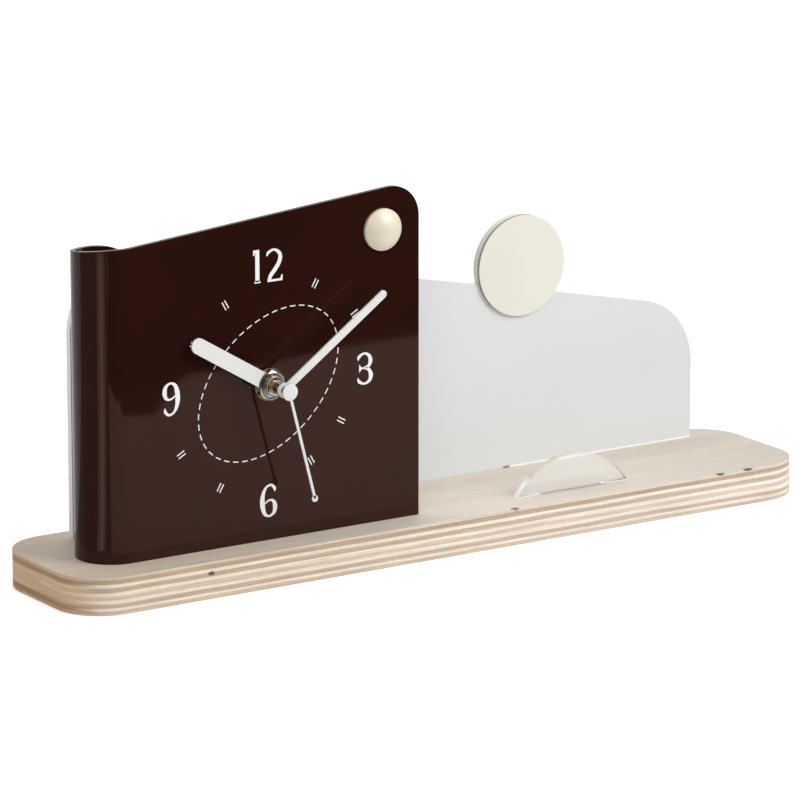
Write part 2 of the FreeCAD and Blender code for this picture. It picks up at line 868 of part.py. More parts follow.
def movement_case():
    """The tub: gears above a wall, the open battery bay below it."""
    tub = case_block(case_front, case_back)
    bay = dial_box(-case_inner, case_inner, case_floor, case_back + past, -case_inner, bay_top)
    gears = dial_box(-case_inner, case_inner, case_floor, case_back + past, gear_floor, case_inner)
    tub = tub.cut([gears, bay])
    # The cover lies between the side walls, on a ledge cut round the gear room
    seat = case_block(cover_front, case_back + past, cover_lip / 2)
    seat = seat.common(dial_box(-far, far, case_front, case_back + 2 * past,
                                bay_top + bay_wall / 2, far))
    tub = tub.cut(seat)
    passages = [dial_box(side * case_inner - passage_depth, side * case_inner + passage_depth,
                         contact_front - passage_gap, contact_front + contact_width + passage_gap,
                         bay_top - past, gear_floor + past)
                .common(dial_box(-case_inner, case_inner, case_front, case_back, -far, far))
                for side in (-1, 1)]
    tub = tub.cut(passages)
    post = rod(motion_at, post_radius, case_floor - lap, motion_layer + wheel_thickness + lap)
    tub = fused(tub, post)
    holes = [rod(at, arbor_radius + running_gap, front_end - running_gap, case_floor + past)
             for at in (third_at, step_at, rotor_at, setting_at)]
    holes.append(rod(dial_at, bush_radius + seat_gap, case_front - past, case_floor + past))
    return tub.cut(holes)


def movement_cover():
    """The flat back of the gear room, with a bearing for each arbor."""
    plate = case_block(cover_front, case_back, cover_lip / 2 + seat_gap)
    low = bay_top + bay_wall / 2 + seat_gap
    plate = plate.common(dial_box(-far, far, case_front, case_back + past, low, far))
    places = (dial_at, third_at, step_at, rotor_at)
    holes = [rod(at, arbor_radius + running_gap, cover_front - past, rear_end + running_gap)
             for at in places]
    holes.append(rod(setting_at, setting_arbor_radius + running_gap,
                     cover_front - past, case_back + past))
    return plate.cut(holes)


def main():
    os.makedirs("parts", exist_ok=True)
    save("base_board", base_board())
    save("clock_plate", clock_plate())
    save("frosted_panel", frosted_panel())
    save("marker_front", marker_front())
    save("marker_back", marker_back())
    save("card_stop", card_stop())
    save("magnet_cap", magnet_cap())
    save("magnet", magnet())
    save("hour_hand", hour_hand())
    save("hour_hand_collar", hour_hand_collar())
    save("minute_hand", minute_hand())
    save("minute_hand_collar", minute_hand_collar())
    save("second_hand", second_hand())
    save("second_hand_collar", second_hand_collar())
    save("second_hand_cap", second_hand_cap())
    save("threaded_bush", threaded_bush())
    save("dial_washer", dial_washer())
    save("hex_nut", hex_nut())
    save("gasket", gasket())
    save("hour_wheel", hour_wheel())
    save("motion_wheel", motion_wheel())
    save("minute_wheel", minute_wheel())
    save("third_wheel", third_wheel())
    save("second_wheel", second_wheel())
    save("step_wheel", step_wheel())
    save("rotor", rotor())
    save("setting_knob", setting_knob())
    save("stator", stator())
    save("coil_core", coil_core())
    save("coil_bobbin", coil_bobbin())
    save("coil_winding", coil_winding())
    save("circuit_board", circuit_board())
    save("chip", chip())
    save("crystal", crystal())
    save("contact_left", contact_left())
    save("contact_right", contact_right())
    save("battery_cell", battery_cell())
    save("movement_case", movement_case())
    save("movement_cover", movement_cover())


main()
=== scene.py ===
"""Desk clock on a plywood base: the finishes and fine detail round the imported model.

Metres. The origin is the centre of the base's bottom face, +X runs to the right,
+Y to the back and +Z up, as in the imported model.
"""

import math

import bmesh
import bpy
from bpy.props import FloatProperty, FloatVectorProperty, IntProperty, PointerProperty
from mathutils import Matrix, Vector


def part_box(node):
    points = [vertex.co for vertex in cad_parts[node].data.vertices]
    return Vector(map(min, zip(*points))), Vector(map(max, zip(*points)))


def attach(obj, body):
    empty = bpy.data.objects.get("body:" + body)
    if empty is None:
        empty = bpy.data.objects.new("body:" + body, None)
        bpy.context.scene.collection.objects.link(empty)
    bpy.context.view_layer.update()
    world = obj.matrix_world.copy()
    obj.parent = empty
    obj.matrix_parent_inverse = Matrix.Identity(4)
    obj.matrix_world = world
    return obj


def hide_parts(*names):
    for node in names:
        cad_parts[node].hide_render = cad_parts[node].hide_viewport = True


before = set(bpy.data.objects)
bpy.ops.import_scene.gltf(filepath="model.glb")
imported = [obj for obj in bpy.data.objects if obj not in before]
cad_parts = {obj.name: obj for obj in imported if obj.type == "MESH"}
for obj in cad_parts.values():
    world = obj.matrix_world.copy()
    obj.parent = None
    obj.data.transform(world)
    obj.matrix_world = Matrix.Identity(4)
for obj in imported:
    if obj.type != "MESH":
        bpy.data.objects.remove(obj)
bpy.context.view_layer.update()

bl_info = {
    "name": "Desk Clock Finish",
    "version": (1, 0, 0),
    "blender": (4, 5, 0),
    "location": "3D View > Sidebar > Desk Clock",
    "description": "Dresses the desk clock with its wood, enamel, acrylic, print and metal finishes",
    "category": "Object",
}

MM = 0.001

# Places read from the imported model
base_low, base_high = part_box("base_board")
base_top = base_high.z
plate_low, plate_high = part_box("clock_plate")
panel_low, panel_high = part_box("frosted_panel")
stop_low, stop_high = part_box("card_stop")
washer_low, washer_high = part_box("dial_washer")
dial = (washer_low + washer_high) / 2
plate_front = washer_high.y

# Radii at the hub, where each bore clears the pipe or thread inside it
hour_bore = 2.55 * MM
minute_bore = 1.65 * MM
second_bore = 0.55 * MM
thread_radius = 4.0 * MM
thread_bore = 4.05 * MM
plate_bore = 4.1 * MM

# The printed pattern's centre stands a little off the axis of the hands
print_x = dial.x - 0.13 * MM
print_z = dial.z + 0.36 * MM


# Sizes and colours that a user would change

class BoardSettings(bpy.types.PropertyGroup):
    corner: FloatProperty(
        name="Corner", description="Radius of the base's corners",
        default=0.020, min=0.001, subtype="DISTANCE", unit="LENGTH")
    arris: FloatProperty(
        name="Arris", description="Width of the eased top and bottom edge",
        default=0.0004, min=0.0, subtype="DISTANCE", unit="LENGTH")
    pale_wood: FloatVectorProperty(
        name="Pale wood", description="Colour of the plies that show their long grain",
        default=(0.855, 0.72, 0.61), min=0.0, max=1.0, size=3, subtype="COLOR")
    dark_wood: FloatVectorProperty(
        name="Dark wood", description="Colour of the plies that show their end grain",
        default=(0.40, 0.275, 0.175), min=0.0, max=1.0, size=3, subtype="COLOR")
    veneer: FloatVectorProperty(
        name="Veneer", description="Colour of the top face",
        default=(0.705, 0.63, 0.535), min=0.0, max=1.0, size=3, subtype="COLOR")


class PlateSettings(bpy.types.PropertyGroup):
    sheet: FloatProperty(
        name="Sheet", description="Thickness of the folded plate",
        default=0.002, min=0.0005, subtype="DISTANCE", unit="LENGTH")
    left_height: FloatProperty(
        name="Height at the fold", description="Height of the plate where its fold begins",
        default=0.1253, min=0.02, subtype="DISTANCE", unit="LENGTH")
    top_slope: FloatProperty(
        name="Slope", description="Rise of the plate's top edge per length along it",
        default=0.0917)
    corner: FloatProperty(
        name="Corner", description="Radius of the front's top corner",
        default=0.013, min=0.001, subtype="DISTANCE", unit="LENGTH")
    flange: FloatProperty(
        name="Flange", description="Length of the rear flange past the fold",
        default=0.027, min=0.0, subtype="DISTANCE", unit="LENGTH")
    flange_corner: FloatProperty(
        name="Flange corner", description="Radius of the rear flange's top corner",
        default=0.026, min=0.001, subtype="DISTANCE", unit="LENGTH")
    edge: FloatProperty(
        name="Edge", description="Roundness of the lacquered edges",
        default=0.0004, min=0.0, subtype="DISTANCE", unit="LENGTH")
    enamel: FloatVectorProperty(
        name="Enamel", description="Colour of the plate's lacquer",
        default=(0.0195, 0.0056, 0.0036), min=0.0, max=1.0, size=3, subtype="COLOR")


class PanelSettings(bpy.types.PropertyGroup):
    left_height: FloatProperty(
        name="Left height", description="Height of the panel at its left edge",
        default=0.1195, min=0.01, subtype="DISTANCE", unit="LENGTH")
    top_slope: FloatProperty(
        name="Slope", description="Fall of the panel's top edge per length along it",
        default=0.2054)
    corner: FloatProperty(
        name="Corner", description="Radius of the panel's top corners",
        default=0.030, min=0.001, subtype="DISTANCE", unit="LENGTH")
    tenon: FloatProperty(
        name="Tenon", description="Width of the tenon in the base",
        default=0.113, min=0.0, subtype="DISTANCE", unit="LENGTH")
    stop_radius: FloatProperty(
        name="Stop radius", description="Radius of the clear card stop's arc",
        default=0.033, min=0.001, subtype="DISTANCE", unit="LENGTH")
    stop_height: FloatProperty(
        name="Stop height", description="Height of the card stop above the base",
        default=0.015, min=0.001, subtype="DISTANCE", unit="LENGTH")
    stop_tenon: FloatProperty(
        name="Stop tenon", description="Width of the card stop's tenon",
        default=0.031, min=0.001, subtype="DISTANCE", unit="LENGTH")
    slot_depth: FloatProperty(
        name="Slot depth", description="How deep the tenons sit in the base",
        default=0.009, min=0.0, subtype="DISTANCE", unit="LENGTH")
    frosted: FloatVectorProperty(
        name="Frosted", description="Colour of the frosted panel",
        default=(0.725, 0.73, 0.735), min=0.0, max=1.0, size=3, subtype="COLOR")
    disc: FloatVectorProperty(
        name="Disc", description="Colour of the disc on the panel's edge",
        default=(0.70, 0.687, 0.609), min=0.0, max=1.0, size=3, subtype="COLOR")
    button: FloatVectorProperty(
        name="Button", description="Colour of the domed button",
        default=(0.665, 0.588, 0.456), min=0.0, max=1.0, size=3, subtype="COLOR")


class DialSettings(bpy.types.PropertyGroup):
    print_height: FloatProperty(
        name="Print", description="Thickness of the printed ink",
        default=0.00004, min=0.0, subtype="DISTANCE", unit="LENGTH")
    ellipse_long: FloatProperty(
        name="Long half axis", description="Long half axis of the dashed ring",
        default=0.03645, min=0.001, subtype="DISTANCE", unit="LENGTH")
    ellipse_short: FloatProperty(
        name="Short half axis", description="Short half axis of the dashed ring",
        default=0.02476, min=0.001, subtype="DISTANCE", unit="LENGTH")
    ellipse_turn: FloatProperty(
        name="Ring turn", description="Turn of the dashed ring's long axis",
        default=math.radians(39.06), subtype="ANGLE", unit="ROTATION")
    dashes: IntProperty(
        name="Dashes", description="Dashes round the ring", default=46, min=3)
    ink: FloatVectorProperty(
        name="Ink", description="Colour of the print",
        default=(0.76, 0.76, 0.755), min=0.0, max=1.0, size=3, subtype="COLOR")
    hour_length: FloatProperty(
        name="Hour hand", description="Length of the hour hand from the centre",
        default=0.0434, min=0.001, subtype="DISTANCE", unit="LENGTH")
    hour_angle: FloatProperty(
        name="Hour angle", description="Where the hour hand points, clockwise from twelve",
        default=math.radians(301.0), subtype="ANGLE", unit="ROTATION")
    minute_length: FloatProperty(
        name="Minute hand", description="Length of the minute hand from the centre",
        default=0.0581, min=0.001, subtype="DISTANCE", unit="LENGTH")
    minute_angle: FloatProperty(
        name="Minute angle", description="Where the minute hand points, clockwise from twelve",
        default=math.radians(54.5), subtype="ANGLE", unit="ROTATION")
    second_length: FloatProperty(
        name="Second hand", description="Length of the second hand from the centre",
        default=0.0476, min=0.001, subtype="DISTANCE", unit="LENGTH")
    second_angle: FloatProperty(
        name="Second angle", description="Where the second hand points, clockwise from twelve",
        default=math.radians(165.4), subtype="ANGLE", unit="ROTATION")
    hand_paint: FloatVectorProperty(
        name="Hand paint", description="Colour of the painted hands",
        default=(0.66, 0.66, 0.645), min=0.0, max=1.0, size=3, subtype="COLOR")


class StageSettings(bpy.types.PropertyGroup):
    fill: FloatProperty(
        name="Fill", description="Strength of the even light from all sides",
        default=0.41, min=0.0)
    key: FloatProperty(
        name="Key", description="Power of the large light at the front right",
        default=58.0, min=0.0, subtype="POWER", unit="POWER")
    lens: FloatProperty(
        name="Lens", description="Focal length of the camera",
        default=243.9, min=1.0, subtype="DISTANCE_CAMERA")


SETTINGS = {
    "desk_clock_board": BoardSettings,
    "desk_clock_plate": PlateSettings,
    "desk_clock_panel": PanelSettings,
    "desk_clock_dial": DialSettings,
    "desk_clock_stage": StageSettings,
}


# Outlines

def arc(centre, radius, start, end, steps):
    """Points on an arc between two angles in radians, anticlockwise from the first axis."""
    points = []
    for step in range(steps + 1):
        angle = start + (end - start) * step / steps
        points.append((centre[0] + radius * math.cos(angle), centre[1] + radius * math.sin(angle)))
    return points


def rounded(corners, steps=16):
    """An outline whose corners, each given as (place, radius), are rounded by arcs."""
    outline = []
    for number, (here, radius) in enumerate(corners):
        here = Vector(here)
        if radius == 0:
            outline.append(tuple(here))
            continue
        before = (Vector(corners[number - 1][0]) - here).normalized()
        after = (Vector(corners[(number + 1) % len(corners)][0]) - here).normalized()
        half = before.angle(after) / 2
        centre = here + (before + after).normalized() * radius / math.sin(half)
        first = here + before * radius / math.tan(half) - centre
        last = here + after * radius / math.tan(half) - centre
        start = math.atan2(first.y, first.x)
        turn = (math.atan2(last.y, last.x) - start + math.pi) % (2 * math.pi) - math.pi
        outline += arc(centre, radius, start, start + turn, steps)
    return outline


def circle(centre, radius, steps=96):
    return arc(centre, radius, 0, 2 * math.pi, steps)[:-1]


# Meshes

def new_piece(name, mesh_maker):
    """An object whose mesh is filled in by mesh_maker, with its faces turned outwards."""
    mesh = bpy.data.meshes.new(name)
    bm = bmesh.new()
    mesh_maker(bm)
    bmesh.ops.remove_doubles(bm, verts=bm.verts, dist=1e-7)
    bmesh.ops.recalc_face_normals(bm, faces=bm.faces)
    bm.to_mesh(mesh)
    bm.free()
    piece = bpy.data.objects.new(name, mesh)
    bpy.context.scene.collection.objects.link(piece)
    return piece


def in_plane(axis, point, height):
    """A place from a point of an outline: along Y outlines lie in X and Z, along Z in X and Y."""
    if axis == "Y":
        return Vector((point[0], height, point[1]))
    return Vector((point[0], point[1], height))


def prism(name, loops, low, high, axis="Y"):
    """A flat solid between two heights. The first loop is its outline, the others are holes."""
    def build(bm):
        edges = []
        for loop in loops:
            verts = [bm.verts.new(in_plane(axis, point, low)) for point in loop]
            edges += [bm.edges.new((verts[i - 1], verts[i])) for i in range(len(verts))]
        bmesh.ops.triangle_fill(bm, edges=edges, use_beauty=True)
        up = in_plane(axis, (0, 0), high - low)
        moved = bmesh.ops.extrude_face_region(bm, geom=bm.faces[:] + bm.edges[:], use_keep_orig=True)
        verts = [part for part in moved["geom"] if isinstance(part, bmesh.types.BMVert)]
        bmesh.ops.translate(bm, vec=up, verts=verts)
    return new_piece(name, build)


def turned(name, profile, centre, steps=72, radius_at=None):
    """A solid turned about an axis along Y. The profile is (radius, y) and runs round the section.

    radius_at changes each radius by its angle, for a form that isn't quite round.
    """
    def build(bm):
        rings = []
        for step in range(steps):
            angle = 2 * math.pi * step / steps
            ring = []
            for radius, y in profile:
                if radius_at is not None:
                    radius, y = radius_at(radius, y, angle)
                place = (centre.x + radius * math.cos(angle), y, centre.z + radius * math.sin(angle))
                ring.append(bm.verts.new(place))
            rings.append(ring)
        count = len(profile)
        for step in range(steps):
            one, other = rings[step - 1], rings[step]
            for i in range(count):
                if profile[i - 1][0] == 0 and profile[i][0] == 0:
                    continue
                corners = [one[i - 1], one[i], other[i], other[i - 1]]
                if profile[i - 1][0] == 0:
                    corners = [one[i - 1], one[i], other[i]]
                elif profile[i][0] == 0:
                    corners = [one[i - 1], one[i], other[i - 1]]
                bm.faces.new(corners)
    return new_piece(name, build)


def smooth(piece, edge=0.0, segments=3, sharp=math.radians(35)):
    """Shade a piece smoothly and round its sharp edges by a real bevel."""
    piece.data.shade_smooth()
    piece.data.set_sharp_from_angle(angle=sharp)
    if edge > 0:
        bevel = piece.modifiers.new("rounded_edges", "BEVEL")
        bevel.width = edge
        bevel.segments = segments
        bevel.limit_method = "ANGLE"
        bevel.angle_limit = sharp
        bevel.harden_normals = True
    return piece


def settle(piece):
    """Make a piece's modifiers part of its mesh."""
    graph = bpy.context.evaluated_depsgraph_get()
    mesh = bpy.data.meshes.new_from_object(piece.evaluated_get(graph))
    piece.modifiers.clear()
    piece.data = mesh
    return piece


def bored(piece, cutters):
    """Cut other pieces out of a piece, and remove them."""
    for cutter in cutters:
        cut = piece.modifiers.new("cut", "BOOLEAN")
        cut.operation = "DIFFERENCE"
        cut.solver = "EXACT"
        cut.object = cutter
    settle(piece)
    for cutter in cutters:
        bpy.data.objects.remove(cutter)
    return piece


def finished(piece, finish, body, slot, *nodes):
    """Give a piece its finish and its body, and hide the nodes it stands for. The slot is not used."""
    piece.data.materials.clear()
    piece.data.materials.append(finish)
    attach(piece, body)
    if nodes:
        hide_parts(*nodes)
    return piece


def repaint(finish, *nodes):
    """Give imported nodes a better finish."""
    for name in nodes:
        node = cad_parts[name]
        if not node.material_slots:
            node.data.materials.append(finish)
        for place in node.material_slots:
            place.material = finish


# Finishes

class Finish:
    """A material in the making: its node tree, its shader and the place on the object."""

    def __init__(self, name, colour, roughness, metallic=0.0):
        self.material = bpy.data.materials.new(name)
        self.material.use_nodes = True
        self.tree = self.material.node_tree
        self.shader = self.tree.nodes["Principled BSDF"]
        self.shader.inputs["Base Color"].default_value = (*colour, 1.0)
        self.shader.inputs["Roughness"].default_value = roughness
        self.shader.inputs["Metallic"].default_value = metallic
        self.place = self.tree.nodes.new("ShaderNodeTexCoord").outputs["Object"]
        self.across, self.along, self.up = self.split(self.place)
        self.height = None

    def set(self, **sockets):
        """Set the shader's own sockets, with underscores for spaces in their names."""
        for name, value in sockets.items():
            self.shader.inputs[name.replace("_", " ")].default_value = value
        return self

    def link(self, source, socket):
        self.tree.links.new(source, socket)

    def math(self, operation, *values):
        node = self.tree.nodes.new("ShaderNodeMath")
        node.operation = operation
        for number, value in enumerate(values):
            if isinstance(value, (int, float)):
                node.inputs[number].default_value = value
            else:
                self.link(value, node.inputs[number])
        return node.outputs[0]

    def stretched(self, scale, turn=(0, 0, 0)):
        """The place with each axis scaled, for grain that runs one way."""
        node = self.tree.nodes.new("ShaderNodeMapping")
        node.inputs["Scale"].default_value = scale
        node.inputs["Rotation"].default_value = turn
        self.link(self.place, node.inputs["Vector"])
        return node.outputs[0]

    def noise(self, scale, detail=3.0, rough=0.5, place=None, distortion=0.0):
        node = self.tree.nodes.new("ShaderNodeTexNoise")
        node.inputs["Scale"].default_value = scale
        node.inputs["Detail"].default_value = detail
        node.inputs["Roughness"].default_value = rough
        node.inputs["Distortion"].default_value = distortion
        self.link(place or self.place, node.inputs["Vector"])
        return node.outputs["Fac"]

    def between(self, value, low, high, out_low=0.0, out_high=1.0):
        """Map a value from one range to another, held at the ends."""
        node = self.tree.nodes.new("ShaderNodeMapRange")
        node.clamp = True
        for socket, number in zip(("From Min", "From Max", "To Min", "To Max"),
                                  (low, high, out_low, out_high)):
            node.inputs[socket].default_value = number
        self.link(value, node.inputs["Value"])
        return node.outputs["Result"]

    def ramp(self, value, stops, hard=False):
        """A colour ramp through (place, colour) stops."""
        node = self.tree.nodes.new("ShaderNodeValToRGB")
        ramp = node.color_ramp
        ramp.interpolation = "CONSTANT" if hard else "LINEAR"
        while len(ramp.elements) < len(stops):
            ramp.elements.new(1.0)
        for element, (place, colour) in zip(ramp.elements, stops):
            element.position = place
            element.color = (*colour, 1.0)
        self.link(value, node.inputs["Fac"])
        return node.outputs["Color"]

    def mix(self, share, one, other, blend="MIX"):
        """Blend two colours, each a colour or a socket."""
        node = self.tree.nodes.new("ShaderNodeMix")
        node.data_type = "RGBA"
        node.blend_type = blend
        for socket, value in zip((0, 6, 7), (share, one, other)):
            if isinstance(value, bpy.types.NodeSocket):
                self.link(value, node.inputs[socket])
            elif isinstance(value, (int, float)):
                node.inputs[socket].default_value = value
            else:
                node.inputs[socket].default_value = (*value, 1.0)
        return node.outputs[2]

    def split(self, vector):
        node = self.tree.nodes.new("ShaderNodeSeparateXYZ")
        self.link(vector, node.inputs[0])
        return node.outputs

    def facing(self):
        """The surface's own direction, in the object's axes."""
        return self.split(self.tree.nodes.new("ShaderNodeTexCoord").outputs["Normal"])

    def squared(self, value, middle, size=1.0):
        """The square of how far a value lies from a middle, counted in sizes."""
        offset = self.math("DIVIDE", self.math("SUBTRACT", value, middle), size)
        return self.math("POWER", offset, 2.0)

    def from_dial_axis(self):
        """Distance from the axis that the hands turn about."""
        wide = self.squared(self.across, dial.x)
        high = self.squared(self.up, dial.z)
        return self.math("SQRT", self.math("ADD", wide, high))

    def waves(self, value, pitch):
        """A wave that runs from -1 to 1 and back over each pitch."""
        return self.math("SINE", self.math("MULTIPLY", value, 2 * math.pi / pitch))

    def cloudy(self, fog, colour, dark, light):
        """A colour that drifts between a darker and a lighter tint of itself."""
        return self.mix(self.between(fog, 0.35, 0.65), tinted(colour, dark), tinted(colour, light))

    def paint(self, colour):
        self.link(colour, self.shader.inputs["Base Color"])
        return self

    def rough(self, value, low, high):
        self.link(self.between(value, 0.3, 0.7, low, high), self.shader.inputs["Roughness"])
        return self

    def bump(self, value, distance, strength=1.0):
        """Raise the surface by a value, a real distance in metres."""
        node = self.tree.nodes.new("ShaderNodeBump")
        node.inputs["Strength"].default_value = strength
        node.inputs["Distance"].default_value = distance
        self.link(value, node.inputs["Height"])
        if self.height is not None:
            self.link(self.height, node.inputs["Normal"])
        self.height = node.outputs["Normal"]
        self.link(self.height, self.shader.inputs["Normal"])
        return self


def tinted(colour, share):
    """A colour made lighter or darker."""
    return tuple(min(1.0, part * share) for part in colour)


# Small splits and a knot along the front edge: their centres and half sizes in millimetres
MARKS = (
    ((26.9, -33.9, 15.0), (2.2, 1.3, 1.5)),
    ((129.3, -34.5, 15.0), (2.4, 1.0, 0.9)),
    ((143.5, -34.4, 15.0), (2.7, 1.2, 0.9)),
    ((-117.0, -35.0, 10.3), (1.6, 1.0, 0.9)),
)

# The board's edge from the bottom up: thickness in millimetres and share of pale wood
PLIES = (
    (1.6, 0.50), (1.05, 1.0), (1.7, 0.33), (1.5, 1.0), (1.7, 0.58),
    (1.4, 1.0), (1.85, 0.30), (1.4, 1.0), (1.85, 0.15), (0.95, 0.65),
)

# On the short ends the middle plies all run the same way: height in millimetres and share
END_PLIES = (
    (0.0, 0.52), (1.1, 0.52), (1.4, 0.06), (3.3, 0.12), (3.6, 0.66), (5.2, 0.78), (5.9, 0.62),
    (8.4, 0.76), (9.0, 0.64), (11.2, 0.78), (11.5, 0.12), (13.4, 0.06), (13.7, 0.6), (15.0, 0.6),
)


def ply_tone(finish, end):
    """Share of pale wood at each height of the board's edge, with soft glue lines between plies."""
    waver = finish.noise(9.0, 2.0, 0.5, finish.stretched((1.0, 1.0, 0.2)))
    drift = finish.math("MULTIPLY", finish.math("SUBTRACT", waver, 0.5), 0.6 * MM)
    level = finish.math("DIVIDE", finish.math("ADD", finish.up, drift), base_top)
    board = sum(thickness for thickness, share in PLIES)
    glue = 0.14
    stops = []
    height = 0.0
    for thickness, share in PLIES:
        stops.append(((height + (glue if stops else 0.0)) / board, (share,) * 3))
        height += thickness
        stops.append(((height - glue) / board, (share,) * 3))
    end_stops = [(height / board, (share,) * 3) for height, share in END_PLIES]
    return finish.mix(end, finish.ramp(level, stops), finish.ramp(level, end_stops))


def edge_grain(finish, settings, end, reach, long_grain):
    """Wood of the board's edge: plies crossed by fibres and pores, browner on the short ends, and with a
    painted tint of light along the board.
    """
    pores = finish.noise(1.0, 3.0, 0.7, finish.stretched((1500.0, 1500.0, 700.0)))
    fine_grain = finish.noise(1.0, 3.0, 0.6, finish.stretched((40.0, 40.0, 3400.0)))
    fibres = finish.math("MULTIPLY", finish.between(long_grain, 0.35, 0.65, 0.84, 1.07),
                         finish.between(fine_grain, 0.35, 0.65, 0.84, 1.08))
    specks = finish.between(pores, 0.35, 0.6, 0.93, 1.03)
    edge = finish.mix(ply_tone(finish, end), settings.dark_wood, settings.pale_wood)
    edge = finish.mix(1.0, edge, fibres, "MULTIPLY")
    edge = finish.mix(1.0, edge, specks, "MULTIPLY")
    edge = finish.mix(end, edge, finish.mix(1.0, edge, (1.04, 0.90, 0.72), "MULTIPLY"))
    # Painted light: the edge is a little darker and warmer at the left and lighter and cooler at the right.
    painted_light_tint = finish.ramp(reach, [(0.2, (0.965, 0.975, 0.94)), (0.5, (0.98, 1.02, 1.02)),
                                 (0.85, (0.99, 1.05, 1.09))])
    return finish.mix(1.0, edge, painted_light_tint, "MULTIPLY")


def face_grain(finish, settings, reach, flecks):
    """Veneer of the flat faces: long grain, flecks and clouds, with painted shade and light in a slow sweep
    along the board.
    """
    grain = finish.noise(1.0, 5.0, 0.6, finish.stretched((5.0, 120.0, 40.0)), 0.6)
    cloud = finish.noise(14.0, 2.0)
    veneer = finish.mix(finish.between(grain, 0.35, 0.68), tinted(settings.veneer, 1.05),
                        tinted(settings.veneer, 0.90))
    veneer = finish.mix(finish.between(flecks, 0.56, 0.72, 0.0, 0.35), veneer,
                        tinted(settings.veneer, 0.78))
    veneer = finish.mix(finish.between(cloud, 0.4, 0.7, 0.0, 0.25), veneer,
                        tinted(settings.veneer, 1.10))
    # Painted shade and light: the veneer is darkened towards both ends, most at the left end by the plate's
    # fold, and is lightest a little right of the middle.
    painted_light_sweep = finish.ramp(reach, [(0.014, (0.70, 0.665, 0.63)), (0.14, (0.86, 0.82, 0.76)),
                                (0.36, (0.89, 0.90, 0.88)), (0.57, (0.92, 0.93, 0.94)),
                                (0.86, (0.82, 0.825, 0.85)), (0.96, (0.79, 0.79, 0.81))])
    return finish.mix(1.0, veneer, painted_light_sweep, "MULTIPLY")


def birch(settings):
    """Birch plywood: veneer grain on its faces, the plies on its edge and a few small flaws."""
    finish = Finish("birch_plywood", settings.veneer, 0.55)
    side = finish.facing()
    end = finish.between(finish.math("ABSOLUTE", side["X"]), 0.55, 0.93)
    flat = finish.between(finish.math("ABSOLUTE", side["Z"]), 0.80, 0.95)
    reach = finish.between(finish.across, base_low.x, base_high.x)
    long_grain = finish.noise(1.0, 4.0, 0.6, finish.stretched((26.0, 26.0, 1300.0)))
    flecks = finish.noise(1.0, 2.0, 0.5, finish.stretched((140.0, 2400.0, 900.0)))
    wood = finish.mix(flat, edge_grain(finish, settings, end, reach, long_grain),
                      face_grain(finish, settings, reach, flecks))
    for centre, half in MARKS:
        x, y, z = [finish.squared(here, at * MM, size * MM)
                   for here, at, size in zip((finish.across, finish.along, finish.up), centre, half)]
        distance = finish.math("ADD", finish.math("ADD", x, y), z)
        wood = finish.mix(finish.between(distance, 0.5, 1.2, 0.95, 0.0), wood, (0.08, 0.045, 0.03))
    finish.paint(wood)
    finish.rough(long_grain, 0.48, 0.66)
    finish.bump(long_grain, 0.08 * MM, 0.5)
    finish.bump(flecks, 0.04 * MM, 0.4)
    return finish.material


def enamel(settings):
    """Dark glossy lacquer with a faint orange peel."""
    finish = Finish("brown_enamel", settings.enamel, 0.045)
    finish.set(Specular_IOR_Level=0.30, Specular_Tint=(1.0, 0.65, 0.55, 1.0))
    finish.paint(finish.cloudy(finish.noise(30.0, 3.0), settings.enamel, 0.92, 1.10))
    finish.rough(finish.noise(900.0, 2.0), 0.03, 0.06)
    finish.bump(finish.noise(260.0, 2.0), 0.004 * MM, 0.6)
    return finish.material


def beside(finish, low, high, tenon, height):
    """A mask for the foot of an upright sheet, where its shoulders stand on the base."""
    foot = finish.between(finish.up, base_top + height, base_top + height + 0.15 * MM, 1.0, 0.0)
    from_middle = finish.math("ABSOLUTE", finish.math("SUBTRACT", finish.across, (low.x + high.x) / 2))
    return finish.math("MULTIPLY", foot, finish.between(from_middle, tenon / 2, tenon / 2 + 0.5 * MM))


def slot_end_painted_shade(finish, settings):
    """A mask for painted shade on the panel: the dark end of the panel's slot, where it shows past the foot
    of the panel.
    """
    slot_end = (panel_low.x + panel_high.x + settings.tenon) / 2
    from_end = finish.math("ABSOLUTE", finish.math("SUBTRACT", finish.across, slot_end))
    return finish.math("MULTIPLY", finish.between(from_end, 1.5 * MM, 1.9 * MM, 1.0, 0.0),
                       finish.between(finish.up, base_top + 0.7 * MM, base_top + 1.0 * MM, 0.75, 0.0))


